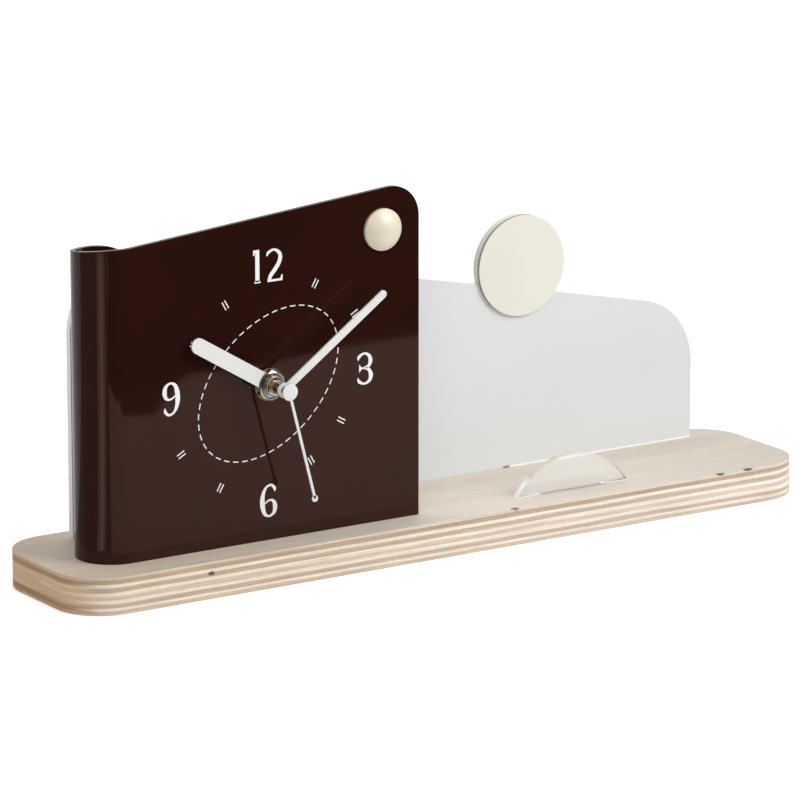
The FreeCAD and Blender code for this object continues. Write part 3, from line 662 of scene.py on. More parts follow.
def frosted_acrylic(settings):
    """White frosted sheet: an even satin haze and polished edges, with painted light: lighter to the left,
    darker to the right and lighter near the foot, a painted highlight along the shoulders and painted shade
    at the end of the slot.
    """
    finish = Finish("frosted_acrylic", settings.frosted, 0.5)
    finish.set(IOR=1.49, Transmission_Weight=0.12, Specular_IOR_Level=0.35)
    haze = finish.noise(1.0, 3.0, 0.6, finish.stretched((30.0, 30.0, 30.0)))
    flat = finish.between(finish.math("ABSOLUTE", finish.facing()["Y"]), 0.5, 0.9)
    face = finish.cloudy(haze, settings.frosted, 0.985, 1.0)
    # Painted light: the face is lighter to the left and darker to the right.
    painted_light_sweep = finish.ramp(finish.between(finish.across, panel_low.x, panel_high.x),
                        [(0.0, (1.07,) * 3), (0.5, (1.05,) * 3), (0.75, (0.985,) * 3), (1.0, (0.94,) * 3)])
    face = finish.mix(1.0, face, painted_light_sweep, "MULTIPLY")
    # Painted light: the face is lightened towards its foot.
    face = finish.mix(finish.between(finish.up, base_top, base_top + 35 * MM, 1.0, 0.0), face,
                      tinted(settings.frosted, 1.04))
    # Painted highlight: a white band along the foot on each side of the tenon.
    shoulders = beside(finish, panel_low, panel_high, settings.tenon, 0.7 * MM)
    face = finish.mix(shoulders, face, (1.0, 1.0, 0.99))
    # Painted shade: a dark spot on the panel's foot at the end of the slot.
    face = finish.mix(slot_end_painted_shade(finish, settings), face, (0.10, 0.08, 0.06))
    finish.paint(finish.mix(flat, (0.93, 0.94, 0.93), face))
    finish.rough(finish.noise(2600.0, 2.0), 0.42, 0.58)
    finish.bump(finish.noise(5200.0, 2.0), 0.006 * MM, 0.5)
    return finish.material


def cream_satin(name, colour, shine=0.5, rim=1.0):
    """Cream painted sheet or moulding with a satin face, and with painted shade on its rim when rim is
    below one.
    """
    finish = Finish(name, colour, 0.38)
    finish.set(Specular_IOR_Level=shine)
    face = finish.cloudy(finish.noise(45.0, 3.0), colour, 0.985, 1.015)
    # Painted shade: the rim is darkened to the share rim of the colour.
    if rim < 1.0:
        flat = finish.between(finish.math("ABSOLUTE", finish.facing()["Y"]), 0.3, 0.8)
        face = finish.mix(flat, tinted(colour, rim), face)
    finish.paint(face)
    finish.rough(finish.noise(700.0, 2.0), 0.34, 0.44)
    finish.bump(finish.noise(1500.0, 2.0), 0.006 * MM, 0.6)
    return finish.material


def clear_acrylic(settings):
    """Clear cast sheet with a painted white glow on its edges that face left near the foot and on its
    shoulders.
    """
    finish = Finish("clear_acrylic", (0.93, 0.93, 0.90), 0.02)
    finish.set(IOR=1.2)
    side = finish.facing()
    edge = finish.between(finish.math("ABSOLUTE", side["Y"]), 0.9, 0.995, 1.0, 0.0)
    near_foot = finish.between(finish.up, base_top + 5.0 * MM, base_top + 8.5 * MM, 1.0, 0.0)
    faces_left = finish.between(side["X"], -0.5, -0.3, 1.0, 0.0)
    # Painted glow: the edges that face left near the foot, and the shoulders, are painted solid white and
    # not clear.
    painted_glow_edges = finish.math("MULTIPLY", edge, finish.math("MULTIPLY", near_foot, faces_left))
    shoulders = beside(finish, stop_low, stop_high, settings.stop_tenon, 0.4 * MM)
    white = finish.math("MAXIMUM", painted_glow_edges, shoulders)
    right_arc = finish.math("MULTIPLY", edge, finish.between(side["X"], 0.15, 0.35))
    body = finish.mix(edge, (0.95, 0.955, 0.94), (0.90, 0.90, 0.87))
    body = finish.mix(right_arc, body, (0.86, 0.83, 0.78))
    finish.paint(finish.mix(white, body, (1.0, 1.0, 1.0)))
    clouded = finish.math("MAXIMUM", white, finish.math("MULTIPLY", right_arc, 0.6))
    finish.link(finish.between(clouded, 0.0, 1.0, 0.80, 0.0), finish.shader.inputs["Transmission Weight"])
    marks = finish.noise(1.0, 3.0, 0.6, finish.stretched((300.0, 900.0, 60.0)))
    finish.rough(marks, 0.012, 0.05)
    finish.bump(marks, 0.003 * MM, 0.3)
    return finish.material


def turned_metal(name, colour, roughness, ring=9000.0):
    """Metal with fine lathe marks and a little tarnish."""
    finish = Finish(name, colour, roughness, 1.0)
    marks = finish.noise(1.0, 2.0, 0.5, finish.stretched((500.0, ring, 500.0)))
    tarnish = finish.noise(420.0, 4.0, 0.6)
    finish.paint(finish.mix(finish.between(tarnish, 0.42, 0.72, 0.0, 0.6), colour, tinted(colour, 0.72)))
    finish.rough(tarnish, roughness * 0.8, roughness * 1.4)
    finish.bump(marks, 0.006 * MM, 0.5)
    return finish.material


def faced_metal(name, colour):
    """Metal turned on a lathe, with painted reflections: dark and bright rings about the dial's axis and
    bands along it.
    """
    finish = Finish(name, colour, 0.16, 1.0)
    rings = finish.waves(finish.from_dial_axis(), 1.3 * MM)
    bands = finish.waves(finish.along, 1.7 * MM)
    streaks = finish.noise(1.0, 3.0, 0.6, finish.stretched((300.0, 900.0, 300.0)), 1.5)
    # Painted reflection: the colour swings from dark to bright with the rings, the bands and the turning
    # streaks.
    shade = finish.math("ADD", finish.math("MULTIPLY", rings, 0.20), streaks)
    shade = finish.math("ADD", finish.math("MULTIPLY", bands, 0.14), shade)
    finish.paint(finish.mix(finish.between(shade, 0.30, 0.72), tinted(colour, 0.22), colour))
    finish.rough(streaks, 0.10, 0.24)
    finish.bump(rings, 0.02 * MM, 0.5)
    return finish.material


def moulded(name, colour, roughness, grain=2200.0, depth=0.015 * MM):
    """Moulded plastic or rubber with a spark-eroded grain and slight flow marks."""
    finish = Finish(name, colour, roughness)
    finish.paint(finish.cloudy(finish.noise(60.0, 3.0, 0.5, None, 0.8), colour, 0.90, 1.10))
    texture = finish.noise(grain, 2.0)
    finish.rough(texture, roughness * 0.85, min(1.0, roughness * 1.15))
    finish.bump(texture, depth, 0.7)
    return finish.material


def paint(name, colour, roughness=0.55):
    """Matte sprayed paint."""
    finish = Finish(name, colour, roughness)
    finish.paint(finish.cloudy(finish.noise(160.0, 3.0), colour, 0.97, 1.02))
    finish.rough(finish.noise(2500.0, 2.0), roughness * 0.92, roughness * 1.08)
    finish.bump(finish.noise(3800.0, 2.0), 0.008 * MM, 0.6)
    return finish.material


def bossed_paint(name, colour, bare_radius):
    """Matte paint that stops short of the hub, where the bare pressed metal shows, with painted reflections
    as dark and bright rings on it.
    """
    finish = Finish(name, colour, 0.5)
    radius = finish.from_dial_axis()
    bare = finish.between(radius, bare_radius - 0.15 * MM, bare_radius, 1.0, 0.0)
    ring = finish.between(radius, bare_radius - 2.6 * MM, bare_radius - 0.4 * MM)
    # Painted reflection: dark and bright rings on the bare metal of the boss.
    metal = finish.ramp(ring, [(0.0, (0.42, 0.39, 0.34)), (0.35, (0.06, 0.05, 0.045)),
                               (0.6, (0.34, 0.32, 0.29)), (0.8, (0.07, 0.06, 0.055)),
                               (1.0, (0.70, 0.68, 0.64))])
    finish.paint(finish.mix(bare, colour, metal))
    finish.link(bare, finish.shader.inputs["Metallic"])
    finish.link(finish.between(bare, 0.0, 1.0, 0.55, 0.22), finish.shader.inputs["Roughness"])
    finish.bump(finish.noise(3800.0, 2.0), 0.008 * MM, 0.6)
    return finish.material


def two_tone(name, front_colour, back_colour):
    """A metal pipe in front of the plate and the moulded wheel that carries it behind."""
    finish = Finish(name, front_colour, 0.3)
    front = finish.between(finish.along, plate_front, plate_front + 0.1 * MM, 1.0, 0.0)
    marks = finish.noise(1.0, 2.0, 0.5, finish.stretched((500.0, 7000.0, 500.0)))
    worn = finish.mix(finish.between(marks, 0.35, 0.65), front_colour, tinted(front_colour, 0.70))
    finish.paint(finish.mix(front, back_colour, worn))
    finish.link(front, finish.shader.inputs["Metallic"])
    finish.bump(marks, 0.006 * MM, 0.5)
    return finish.material


def winding_wire():
    """Enamelled copper wire wound in close turns, with painted shade in the grooves between them."""
    copper = (0.62, 0.24, 0.10)
    finish = Finish("copper_wire", copper, 0.3, 0.9)
    turns = finish.waves(finish.across, 0.12 * MM)
    # Painted shade: the copper is darkened where the bump sinks between the turns.
    finish.paint(finish.mix(finish.between(turns, -1.0, 1.0), tinted(copper, 0.55), copper))
    finish.bump(turns, 0.03 * MM)
    return finish.material


def cell_wrap():
    """A dry cell: a printed sleeve in two tones between bare metal ends."""
    sleeve, band, metal = (0.05, 0.055, 0.06), (0.55, 0.36, 0.16), (0.72, 0.71, 0.68)
    low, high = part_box("battery_cell")
    finish = Finish("cell_wrap", sleeve, 0.28)
    share = finish.between(finish.across, low.x, high.x)
    finish.paint(finish.ramp(share, [(0.0, metal), (0.022, metal), (0.024, sleeve), (0.70, sleeve),
                                     (0.702, band), (0.955, band), (0.957, metal), (1.0, metal)]))
    metal_share = finish.ramp(share, [(0.0, (1,) * 3), (0.022, (1,) * 3), (0.024, (0.15,) * 3),
                                      (0.955, (0.35,) * 3), (0.957, (1,) * 3), (1.0, (1,) * 3)])
    finish.link(metal_share, finish.shader.inputs["Metallic"])
    finish.bump(finish.noise(500.0, 3.0), 0.02 * MM, 0.3)
    return finish.material


# Base

def block(name, low, high):
    """A plain cutter between two corners."""
    outline = [(low.x, low.y), (high.x, low.y), (high.x, high.y), (low.x, high.y)]
    return prism(name, [outline], low.z, high.z, "Z")


def slot_cutters(panel):
    """Cutters for both slots, and for the round reliefs at the ends of the panel's slot."""
    gap = Vector((1.5 * MM, 0.25 * MM, 0))
    relief = 1.9 * MM
    past_top = base_top + MM
    cutters = []
    for name, low, high, tenon in (("panel_slot", panel_low, panel_high, panel.tenon),
                                   ("stop_slot", stop_low, stop_high, panel.stop_tenon)):
        middle = (low.x + high.x) / 2
        start = Vector((middle - tenon / 2, low.y, low.z)) - gap
        end = Vector((middle + tenon / 2, high.y, past_top)) + gap
        cutters.append(block(name, start, end))
    for side in (-1, 1):
        end = ((panel_low.x + panel_high.x + side * panel.tenon) / 2, (panel_low.y + panel_high.y) / 2)
        cutters.append(prism("slot_end", [circle(end, relief, 40)], panel_low.z - 0.2 * MM, past_top, "Z"))
    return cutters


class DESKCLOCK_OT_base(bpy.types.Operator):
    """Build the plywood base with its rounded corners and the slots that take the tenons"""
    bl_idname = "desk_clock.base"
    bl_label = "Plywood Base"

    def execute(self, context):
        settings = context.scene.desk_clock_board
        places = [(base_low.x, base_low.y), (base_high.x, base_low.y),
                  (base_high.x, base_high.y), (base_low.x, base_high.y)]
        outline = rounded([(place, settings.corner) for place in places], 32)
        board = smooth(prism("plywood_base", [outline], base_low.z, base_high.z, "Z"), settings.arris)
        settle(board)
        bored(board, slot_cutters(context.scene.desk_clock_panel))

        # The bevel's kept normals would shade the bored top unevenly
        hardened = board.data.attributes.get("custom_normal")
        if hardened is not None:
            board.data.attributes.remove(hardened)
        smooth(board)
        even = board.modifiers.new("even_shading", "WEIGHTED_NORMAL")
        even.weight = 100
        even.keep_sharp = True
        finished(board, birch(settings), "stand", "birch_plywood", "base_board")
        return {"FINISHED"}


# Clock plate

def plate_walls(bm, settings):
    """The folded sheet: a flat front, a half-round fold and a short rear flange.

    The top edge lies a skin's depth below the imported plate's, so the sheet never stands past it.
    """
    radius = (plate_high.y - plate_low.y) / 2
    fold_x = plate_low.x + radius
    fold_y = plate_low.y + radius
    sheet = settings.sheet
    skin = 0.003 * MM
    fold_top = base_top + settings.left_height - skin
    drop = settings.top_slope * math.pi * (radius - sheet / 2)
    flange_end = fold_x + settings.flange

    def top_corner(end, corner, top_at_fold, slope):
        """The rounded top corner, from the vertical end back to the slanted top edge."""
        tilt = math.atan(slope)
        centre_x = end - corner
        line = top_at_fold + slope * (centre_x - fold_x)
        return arc((centre_x, line - corner / math.cos(tilt)), corner, 0, math.pi / 2 + tilt, 16)

    front_top = top_corner(plate_high.x, settings.corner, fold_top, settings.top_slope)
    back_top = top_corner(flange_end, settings.flange_corner, fold_top - drop, -settings.top_slope)

    # Places along the sheet: x and y of its outer face, the way that faces, and the height
    stations = [(x, plate_low.y, 0, -1, z) for x, z in front_top]
    stations.append((fold_x, plate_low.y, 0, -1, fold_top))
    first_fold = len(stations)
    fold_steps = 40
    for step in range(1, fold_steps):
        turn = math.pi * step / fold_steps
        across, along = -math.sin(turn), -math.cos(turn)
        stations.append((fold_x + radius * across, fold_y + radius * along, across, along,
                         fold_top - drop * (1 - math.cos(turn)) / 2))
    last_fold = len(stations)
    stations.append((fold_x, plate_high.y, 0, 1, fold_top - drop))
    stations += [(x, plate_high.y, 0, 1, z) for x, z in reversed(back_top)]

    def column(depth):
        """The sheet's outer or inner skin, as its low and high points at each station."""
        tops = [bm.verts.new((x - nx * depth, y - ny * depth, z)) for x, y, nx, ny, z in stations]
        kept = [0, *range(first_fold - 1, last_fold + 1), len(stations) - 1]
        lows = {i: bm.verts.new((tops[i].co.x, tops[i].co.y, base_top)) for i in kept}
        bm.faces.new([lows[0], *tops[:first_fold], lows[first_fold - 1]])
        for i in range(first_fold, last_fold + 1):
            bm.faces.new((lows[i - 1], tops[i - 1], tops[i], lows[i]))
        bm.faces.new([lows[last_fold], *tops[last_fold:], lows[len(stations) - 1]])
        return tops, [lows[i] for i in kept]

    outer_tops, outer_lows = column(0.0)
    inner_tops, inner_lows = column(sheet)
    for outer, inner in ((outer_tops, inner_tops), (outer_lows, inner_lows)):
        for i in range(1, len(outer)):
            bm.faces.new((outer[i - 1], outer[i], inner[i], inner[i - 1]))
    for end in (0, -1):
        bm.faces.new((outer_lows[end], outer_tops[end], inner_tops[end], inner_lows[end]))


class DESKCLOCK_OT_plate(bpy.types.Operator):
    """Fold the lacquered clock plate and bore it for the movement's bush"""
    bl_idname = "desk_clock.plate"
    bl_label = "Clock Plate"

    def execute(self, context):
        settings = context.scene.desk_clock_plate
        plate = new_piece("folded_plate", lambda bm: plate_walls(bm, settings))
        bush_hole = prism("bush_hole", [circle((dial.x, dial.z), plate_bore)],
                          plate_front - MM, plate_front + settings.sheet + MM)
        bored(plate, [bush_hole])
        smooth(plate, settings.edge)
        finished(plate, enamel(settings), "stand", "brown_enamel", "clock_plate")
        return {"FINISHED"}


# Print on the dial

def ribbon(bm, points, widths, low, high, steps=6):
    """A flat stroke of ink whose width changes along a smooth curve through its points."""
    places = [Vector(point) for point in points]
    ends = [2 * places[0] - places[1], *places, 2 * places[-1] - places[-2]]
    path, spread = [], []
    for i in range(len(places) - 1):
        a, b, c, d = ends[i:i + 4]
        for step in range(steps + (i == len(places) - 2)):
            t = step / steps
            path.append(0.5 * (2 * b + (c - a) * t + (2 * a - 5 * b + 4 * c - d) * t ** 2
                               + (3 * b - a - 3 * c + d) * t ** 3))
            spread.append(widths[i] + (widths[i + 1] - widths[i]) * t)
    rows = []
    for i, here in enumerate(path):
        along = (path[min(i + 1, len(path) - 1)] - path[max(i - 1, 0)]).normalized()
        side = Vector((-along.y, along.x)) * spread[i] / 2
        edges = (here + side, here - side)
        rows.append([bm.verts.new((p.x, y, p.y)) for y in (low, high) for p in edges])
    for one, other in zip(rows, rows[1:]):
        for i, j in ((0, 1), (1, 3), (3, 2), (2, 0)):
            bm.faces.new((one[i], one[j], other[j], other[i]))
    for row in (rows[0], rows[-1]):
        bm.faces.new((row[0], row[1], row[3], row[2]))


def patch(bm, points, low, high):
    """A flat patch of ink with straight sides."""
    bottom = [bm.verts.new((x, low, z)) for x, z in points]
    top = [bm.verts.new((x, high, z)) for x, z in points]
    bm.faces.new(bottom)
    bm.faces.new(top)
    for i in range(len(points)):
        bm.faces.new((bottom[i - 1], bottom[i], top[i], top[i - 1]))


# Strokes of the numerals: points of (across, up, width) in millimetres from the numeral's centre
SIX = [[(3.0, 3.43, 0.4), (2.87, 4.8, 1.3), (1.36, 6.22, 0.95), (-0.82, 5.59, 0.9), (-2.23, 3.33, 1.5),
        (-2.78, 0.39, 2.1), (-2.59, -2.55, 2.1), (-1.73, -5.19, 1.5), (0.09, -6.37, 0.8),
        (1.73, -5.88, 1.0), (2.82, -4.61, 1.7), (3.09, -2.74, 2.0), (2.64, -0.88, 1.5), (1.36, 0.1, 0.8),
        (-0.27, -0.2, 0.7), (-1.64, -1.18, 0.6)]]
NINE = [[(-x, -z, width) for x, z, width in SIX[0]]]
THREE = [[(-3.24, 3.55, 0.4), (-2.91, 4.9, 1.4), (-0.47, 6.19, 0.8), (1.79, 5.09, 1.4), (2.54, 2.88, 1.9),
          (1.6, 0.86, 1.3), (-0.66, 0.24, 0.8)],
         [(-0.66, 0.24, 0.8), (1.69, -0.58, 1.3), (2.73, -2.98, 2.0), (1.97, -5.18, 1.4),
          (-0.38, -6.19, 0.8), (-2.82, -5.09, 1.4), (-3.38, -3.55, 0.4)]]
THREE_SPUR = [(-2.8, 1.9), (-1.6, 0.55), (0.2, 0.5), (0.2, -0.05), (-1.6, -0.15), (-2.8, -1.5)]
TWO = [[(-3.4, 3.9, 0.5), (-2.8, 5.2, 1.2), (-0.2, 6.25, 0.85), (2.2, 4.8, 1.5), (2.7, 2.8, 1.8),
        (1.95, 0.55, 1.8), (0.2, -1.85, 1.8), (-1.65, -3.95, 1.7), (-2.45, -5.9, 1.4)]]
TWO_FOOT = [(-3.2, -6.5), (3.7, -6.5), (3.8, -4.1), (3.25, -4.2), (2.65, -5.6), (-1.75, -5.6),
            (-3.05, -5.1)]
ONE_STEM = [(-0.95, -5.9), (0.95, -5.9), (0.92, 6.9), (-0.95, 6.9)]
ONE_FLAG = [(-0.9, 5.9), (-0.9, 6.9), (-1.95, 6.9), (-1.95, 4.75), (-1.35, 4.75), (-1.2, 5.75)]
ONE_FOOT = [(-1.5, -6.4), (1.5, -6.4), (1.4, -6.0), (0.9, -5.3), (-0.9, -5.3), (-1.4, -6.0)]

# Each printed numeral: its centre from the print's centre, its strokes and its patches
NUMERALS = {
    "numeral_12_one": ((-4.9, 47.4), (), (ONE_STEM, ONE_FLAG, ONE_FOOT)),
    "numeral_12_two": ((2.9, 47.4), TWO, (TWO_FOOT,)),
    "numeral_3": ((45.0, 0.2), THREE, (THREE_SPUR,)),
    "numeral_6": ((-0.5, -47.5), SIX, ()),
    "numeral_9": ((-44.4, -0.3), NINE, ()),
}

# How far out the pair of strokes stands at each hour without a numeral, in millimetres
STROKE_RADII = {1: 43.5, 2: 46.5, 4: 38.9, 5: 39.1, 7: 45.2, 8: 46.4, 10: 39.3, 11: 39.3}


def printed(across, up):
    """A place on the dial from millimetres across and up from the print's centre."""
    return (print_x + across * MM, print_z + up * MM)


def numeral(bm, name, low, high):
    """One numeral, whose patches lie a hair prouder than its strokes."""
    centre, strokes, patches = NUMERALS[name]
    for stroke in strokes:
        points = [printed(centre[0] + x, centre[1] + z) for x, z, width in stroke]
        ribbon(bm, points, [width * MM for x, z, width in stroke], low, high)
    for outline in patches:
        points = [printed(centre[0] + x, centre[1] + z) for x, z in outline]
        patch(bm, points, low - 0.01 * MM, high)


def hour_strokes(bm, low, high):
    """Two short radial strokes at each hour that has no numeral."""
    half_length, half_gap, width = 1.85 * MM, 0.70 * MM, 0.48 * MM
    for hour, radius in STROKE_RADII.items():
        angle = math.radians(90 - 30 * hour)
        out = Vector((math.cos(angle), math.sin(angle)))
        side = Vector((-out.y, out.x)) * half_gap
        centre = Vector((print_x, print_z)) + out * radius * MM
        for sign in (-1, 1):
            ends = [centre + side * sign + out * reach for reach in (-half_length, half_length)]
            ribbon(bm, ends, [width] * 2, low, high, 1)


def dashed_ring(bm, settings, low, high):
    """Dashes along an ellipse, spaced evenly by length."""
    samples = 2880
    inked, first, width = 0.60, 0.94 * MM, 0.44 * MM
    turn = Matrix.Rotation(settings.ellipse_turn, 2)
    ring = []
    for step in range(samples + 1):
        t = 2 * math.pi * step / samples
        local = Vector((settings.ellipse_long * math.cos(t), settings.ellipse_short * math.sin(t)))
        ring.append(Vector((print_x, print_z)) + turn @ local)
    lengths = [0.0]
    for one, other in zip(ring, ring[1:]):
        lengths.append(lengths[-1] + (other - one).length)
    pitch = lengths[-1] / settings.dashes

    def place(distance):
        """The point of the ellipse at a length along it."""
        for i in range(1, len(ring)):
            if lengths[i] >= distance:
                share = (distance - lengths[i - 1]) / (lengths[i] - lengths[i - 1])
                return ring[i - 1].lerp(ring[i], share)
        return ring[-1]

    for number in range(settings.dashes):
        points = [place(first + pitch * (number + inked * k / 3)) for k in range(4)]
        ribbon(bm, points, [width] * 4, low, high, 2)


class DESKCLOCK_OT_print(bpy.types.Operator):
    """Print the numerals, the hour strokes and the dashed ring on the plate"""
    bl_idname = "desk_clock.dial_print"
    bl_label = "Dial Print"

    def execute(self, context):
        settings = context.scene.desk_clock_dial
        ink = paint("white_ink", settings.ink, 0.5)
        high = plate_front + 0.01 * MM
        low = plate_front - settings.print_height
        for name in NUMERALS:
            finished(new_piece(name, lambda bm: numeral(bm, name, low, high)), ink, "stand", "white_paint")
        strokes = new_piece("hour_strokes", lambda bm: hour_strokes(bm, low, high))
        finished(strokes, ink, "stand", "white_paint")
        ring = new_piece("dashed_ring", lambda bm: dashed_ring(bm, settings, low, high))
        finished(ring, ink, "stand", "white_paint")
        return {"FINISHED"}


# Hands and hub

def hand_outline(length, width, hub, angle):
    """A bar with a round tip and a round hub, turned to a clock angle."""
    half = width / 2
    neck = math.asin(half / hub)
    points = arc((length - half, 0), half, -math.pi / 2, math.pi / 2, 16)
    points += arc((0, 0), hub, neck, 2 * math.pi - neck, 40)
    turn = Matrix.Rotation(math.pi / 2 - angle, 2)
    return [tuple(Vector((dial.x, dial.z)) + turn @ Vector(point)) for point in points]


def hand(name, node, length, width, hub, bore, angle, edge):
    """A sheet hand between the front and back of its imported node."""
    low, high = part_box(node)
    hole = circle((dial.x, dial.z), bore, 48)
    piece = prism(name, [hand_outline(length, width, hub, angle), hole], low.y, high.y)
    return smooth(piece, edge, 2)


def ring_profile(node, radius, bore, grooves=(), chamfer=0.12 * MM):
    """The section of a collar along Y, with grooves given as (share along it, depth, width)."""
    low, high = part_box(node)
    outer = [(radius - chamfer, low.y), (radius, low.y + chamfer)]
    for share, depth, width in grooves:
        middle = low.y + (high.y - low.y) * share
        outer += [(radius, middle - width / 2), (radius - depth, middle - width / 3),
                  (radius - depth, middle + width / 3), (radius, middle + width / 2)]
    outer += [(radius, high.y - chamfer), (radius - chamfer, high.y)]
    return [(bore, low.y), *outer, (bore, high.y)]


class DESKCLOCK_OT_hands(bpy.types.Operator):
    """Cut the three hands and their cap and paint them"""
    bl_idname = "desk_clock.hands"
    bl_label = "Hands"

    def execute(self, context):
        settings = context.scene.desk_clock_dial
        white = paint("hand_paint", settings.hand_paint)
        bossed = bossed_paint("hour_hand_paint", settings.hand_paint, 7.7 * MM)
        hour = hand("hour_hand_blade", "hour_hand", settings.hour_length, 6.4 * MM, 4.1 * MM, hour_bore,
                    settings.hour_angle, 0.12 * MM)
        finished(hour, bossed, "hour_hand_train", "white_paint", "hour_hand")
        minute = hand("minute_hand_blade", "minute_hand", settings.minute_length, 3.2 * MM, 3.0 * MM,
                      minute_bore, settings.minute_angle, 0.12 * MM)
        finished(minute, white, "minute_hand_train", "white_paint", "minute_hand")

        low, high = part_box("second_hand")
        ball, arris = 1.4 * MM, 0.1 * MM
        reach = settings.second_length - ball
        needle = hand("second_hand_needle", "second_hand", reach, 1.1 * MM, 1.8 * MM, second_bore,
                      settings.second_angle, 0.08 * MM)
        finished(needle, white, "second_hand_train", "white_paint", "second_hand")
        turn = math.pi / 2 - settings.second_angle
        tip = Vector((dial.x + reach * math.cos(turn), 0, dial.z + reach * math.sin(turn)))
        profile = [(0, low.y), (ball - arris, low.y), (ball, low.y + arris),
                   (ball, high.y - arris), (ball - arris, high.y), (0, high.y)]
        disc = smooth(turned("second_hand_ball", profile, tip, 40))
        finished(disc, white, "second_hand_train", "white_paint")

        low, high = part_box("second_hand_cap")
        radius, soft = 3.4 * MM, 0.3 * MM
        rounding = [(radius - soft + soft * math.sin(a), low.y + soft - soft * math.cos(a))
                    for a in (0, math.pi / 6, math.pi / 3, math.pi / 2)]
        profile = [(0, low.y), *rounding, (radius, high.y), (0, high.y)]
        cap = smooth(turned("hub_cap", profile, dial, 64))
        finished(cap, white, "second_hand_train", "white_paint", "second_hand_cap")
        return {"FINISHED"}


def nut_profile(low, high, flats):
    """The section of the nut, and how each of its points moves to make six flats of a ring."""
    profile = [(thread_bore, low.y), (flats - 0.25 * MM, low.y), (flats, low.y), (flats, high.y),
               (thread_bore, high.y)]

    def hexagon(radius, y, angle):
        """Push the outermost ring out to the flats, and bevel the front of each corner."""
        if radius < flats:
            return radius, y
        to_flat = (angle + math.pi / 6) % (math.pi / 3) - math.pi / 6
        out = flats / math.cos(to_flat)
        if y < (low.y + high.y) / 2:
            y += (out - flats) * 0.5 + 0.15 * MM
        return out, y

    return profile, hexagon


def bush_profile(low, high):
    """The section of the bush: a thread in front of the plate and a flange behind it."""
    pitch, thread_root = 0.5 * MM, 3.7 * MM
    flange, flange_radius = 0.8 * MM, 5.6 * MM
    profile = [(hour_bore, low.y)]
    y = low.y
    while y < plate_front - 0.7 * MM:
        profile += [(thread_root, y), (thread_radius, y + pitch / 2)]
        y += pitch
    return profile + [(thread_radius, high.y - flange), (flange_radius, high.y - flange),
                      (flange_radius, high.y), (hour_bore, high.y)]


class DESKCLOCK_OT_hub(bpy.types.Operator):
    """Turn the washer, the nut, the threaded bush and the collars of the hands"""
    bl_idname = "desk_clock.hub"
    bl_label = "Hub Metalwork"

    def execute(self, context):
        brass = faced_metal("brass", (0.70, 0.53, 0.33))
        nickel = faced_metal("plated_nut", (0.74, 0.70, 0.62))
        steel = faced_metal("bright_steel", (0.76, 0.72, 0.64))

        washer_ring = ring_profile("dial_washer", (washer_high.x - washer_low.x) / 2, thread_bore)
        washer = smooth(turned("dial_washer_ring", washer_ring, dial, 96))
        finished(washer, brass, "stand", "brass", "dial_washer")

        profile, hexagon = nut_profile(*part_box("hex_nut"), 5.5 * MM)
        nut = smooth(turned("hex_nut_body", profile, dial, 72, hexagon), 0.0, 2, math.radians(25))
        finished(nut, nickel, "stand", "brass", "hex_nut")

        bush = smooth(turned("bush_thread", bush_profile(*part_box("threaded_bush")), dial, 64))
        finished(bush, brass, "stand", "brass", "threaded_bush")

        grooves = ((0.5, 0.15 * MM, 0.3 * MM),)
        hour_ring = ring_profile("hour_hand_collar", 4.0 * MM, hour_bore, grooves)
        finished(smooth(turned("hour_collar_ring", hour_ring, dial)), steel, "hour_hand_train",
                 "bright_steel", "hour_hand_collar")
        grooves = ((0.25, 0.35 * MM, 0.7 * MM), (0.60, 0.45 * MM, 0.9 * MM), (0.86, 0.25 * MM, 0.4 * MM))
        minute_ring = ring_profile("minute_hand_collar", 2.6 * MM, minute_bore, grooves)
        finished(smooth(turned("minute_collar_ring", minute_ring, dial)), steel, "minute_hand_train",
                 "bright_steel", "minute_hand_collar")

        copper, nylon = (0.55, 0.27, 0.13), (0.72, 0.70, 0.64)
        repaint(steel, "second_hand_collar")
        repaint(two_tone("hour_pipe", copper, (0.75, 0.73, 0.66)), "hour_wheel")
        repaint(two_tone("minute_pipe", copper, nylon), "minute_wheel")
        repaint(two_tone("second_arbor", (0.70, 0.69, 0.66), nylon), "second_wheel")
        return {"FINISHED"}


# Panel, disc, card stop and button

def panel_top(settings, x):
    """Height of the panel's slanted top edge."""
    return base_top + settings.left_height - settings.top_slope * (x - panel_low.x)


def panel_outline(settings):
    """The panel with its rounded top corners, and with the tenon in the middle of its foot."""
    left, right = panel_low.x, panel_high.x
    middle, half = (left + right) / 2, settings.tenon / 2
    floor = base_top - settings.slot_depth
    corners = [((right, base_top), 0), ((middle + half, base_top), 0), ((middle + half, floor), 0),
               ((middle - half, floor), 0), ((middle - half, base_top), 0), ((left, base_top), 0),
               ((left, panel_top(settings, left)), settings.corner),
               ((right, panel_top(settings, right)), settings.corner)]
    return rounded(corners, 32)


def disc_above_edge(settings, centre, radius):
    """The part of the disc that lies above the panel's slanted edge."""
    fall = math.atan(-settings.top_slope)
    distance = (panel_top(settings, centre.x) - centre.z) * math.cos(fall)
    reach = math.acos(distance / radius)
    upright = fall + math.pi / 2
    return arc((centre.x, centre.z), radius, upright - reach, upright + reach, 96)


def stop_outline(settings):
    """A low arc above the base, with the tenon below its middle."""
    middle = (stop_low.x + stop_high.x) / 2
    radius = settings.stop_radius
    arc_centre = base_top + settings.stop_height - radius
    half = math.acos((base_top - arc_centre) / radius)
    tenon = settings.stop_tenon / 2
    floor = base_top - settings.slot_depth
    return arc((middle, arc_centre), radius, math.pi / 2 - half, math.pi / 2 + half, 48) + [
        (middle - tenon, base_top), (middle - tenon, floor), (middle + tenon, floor),
        (middle + tenon, base_top)]


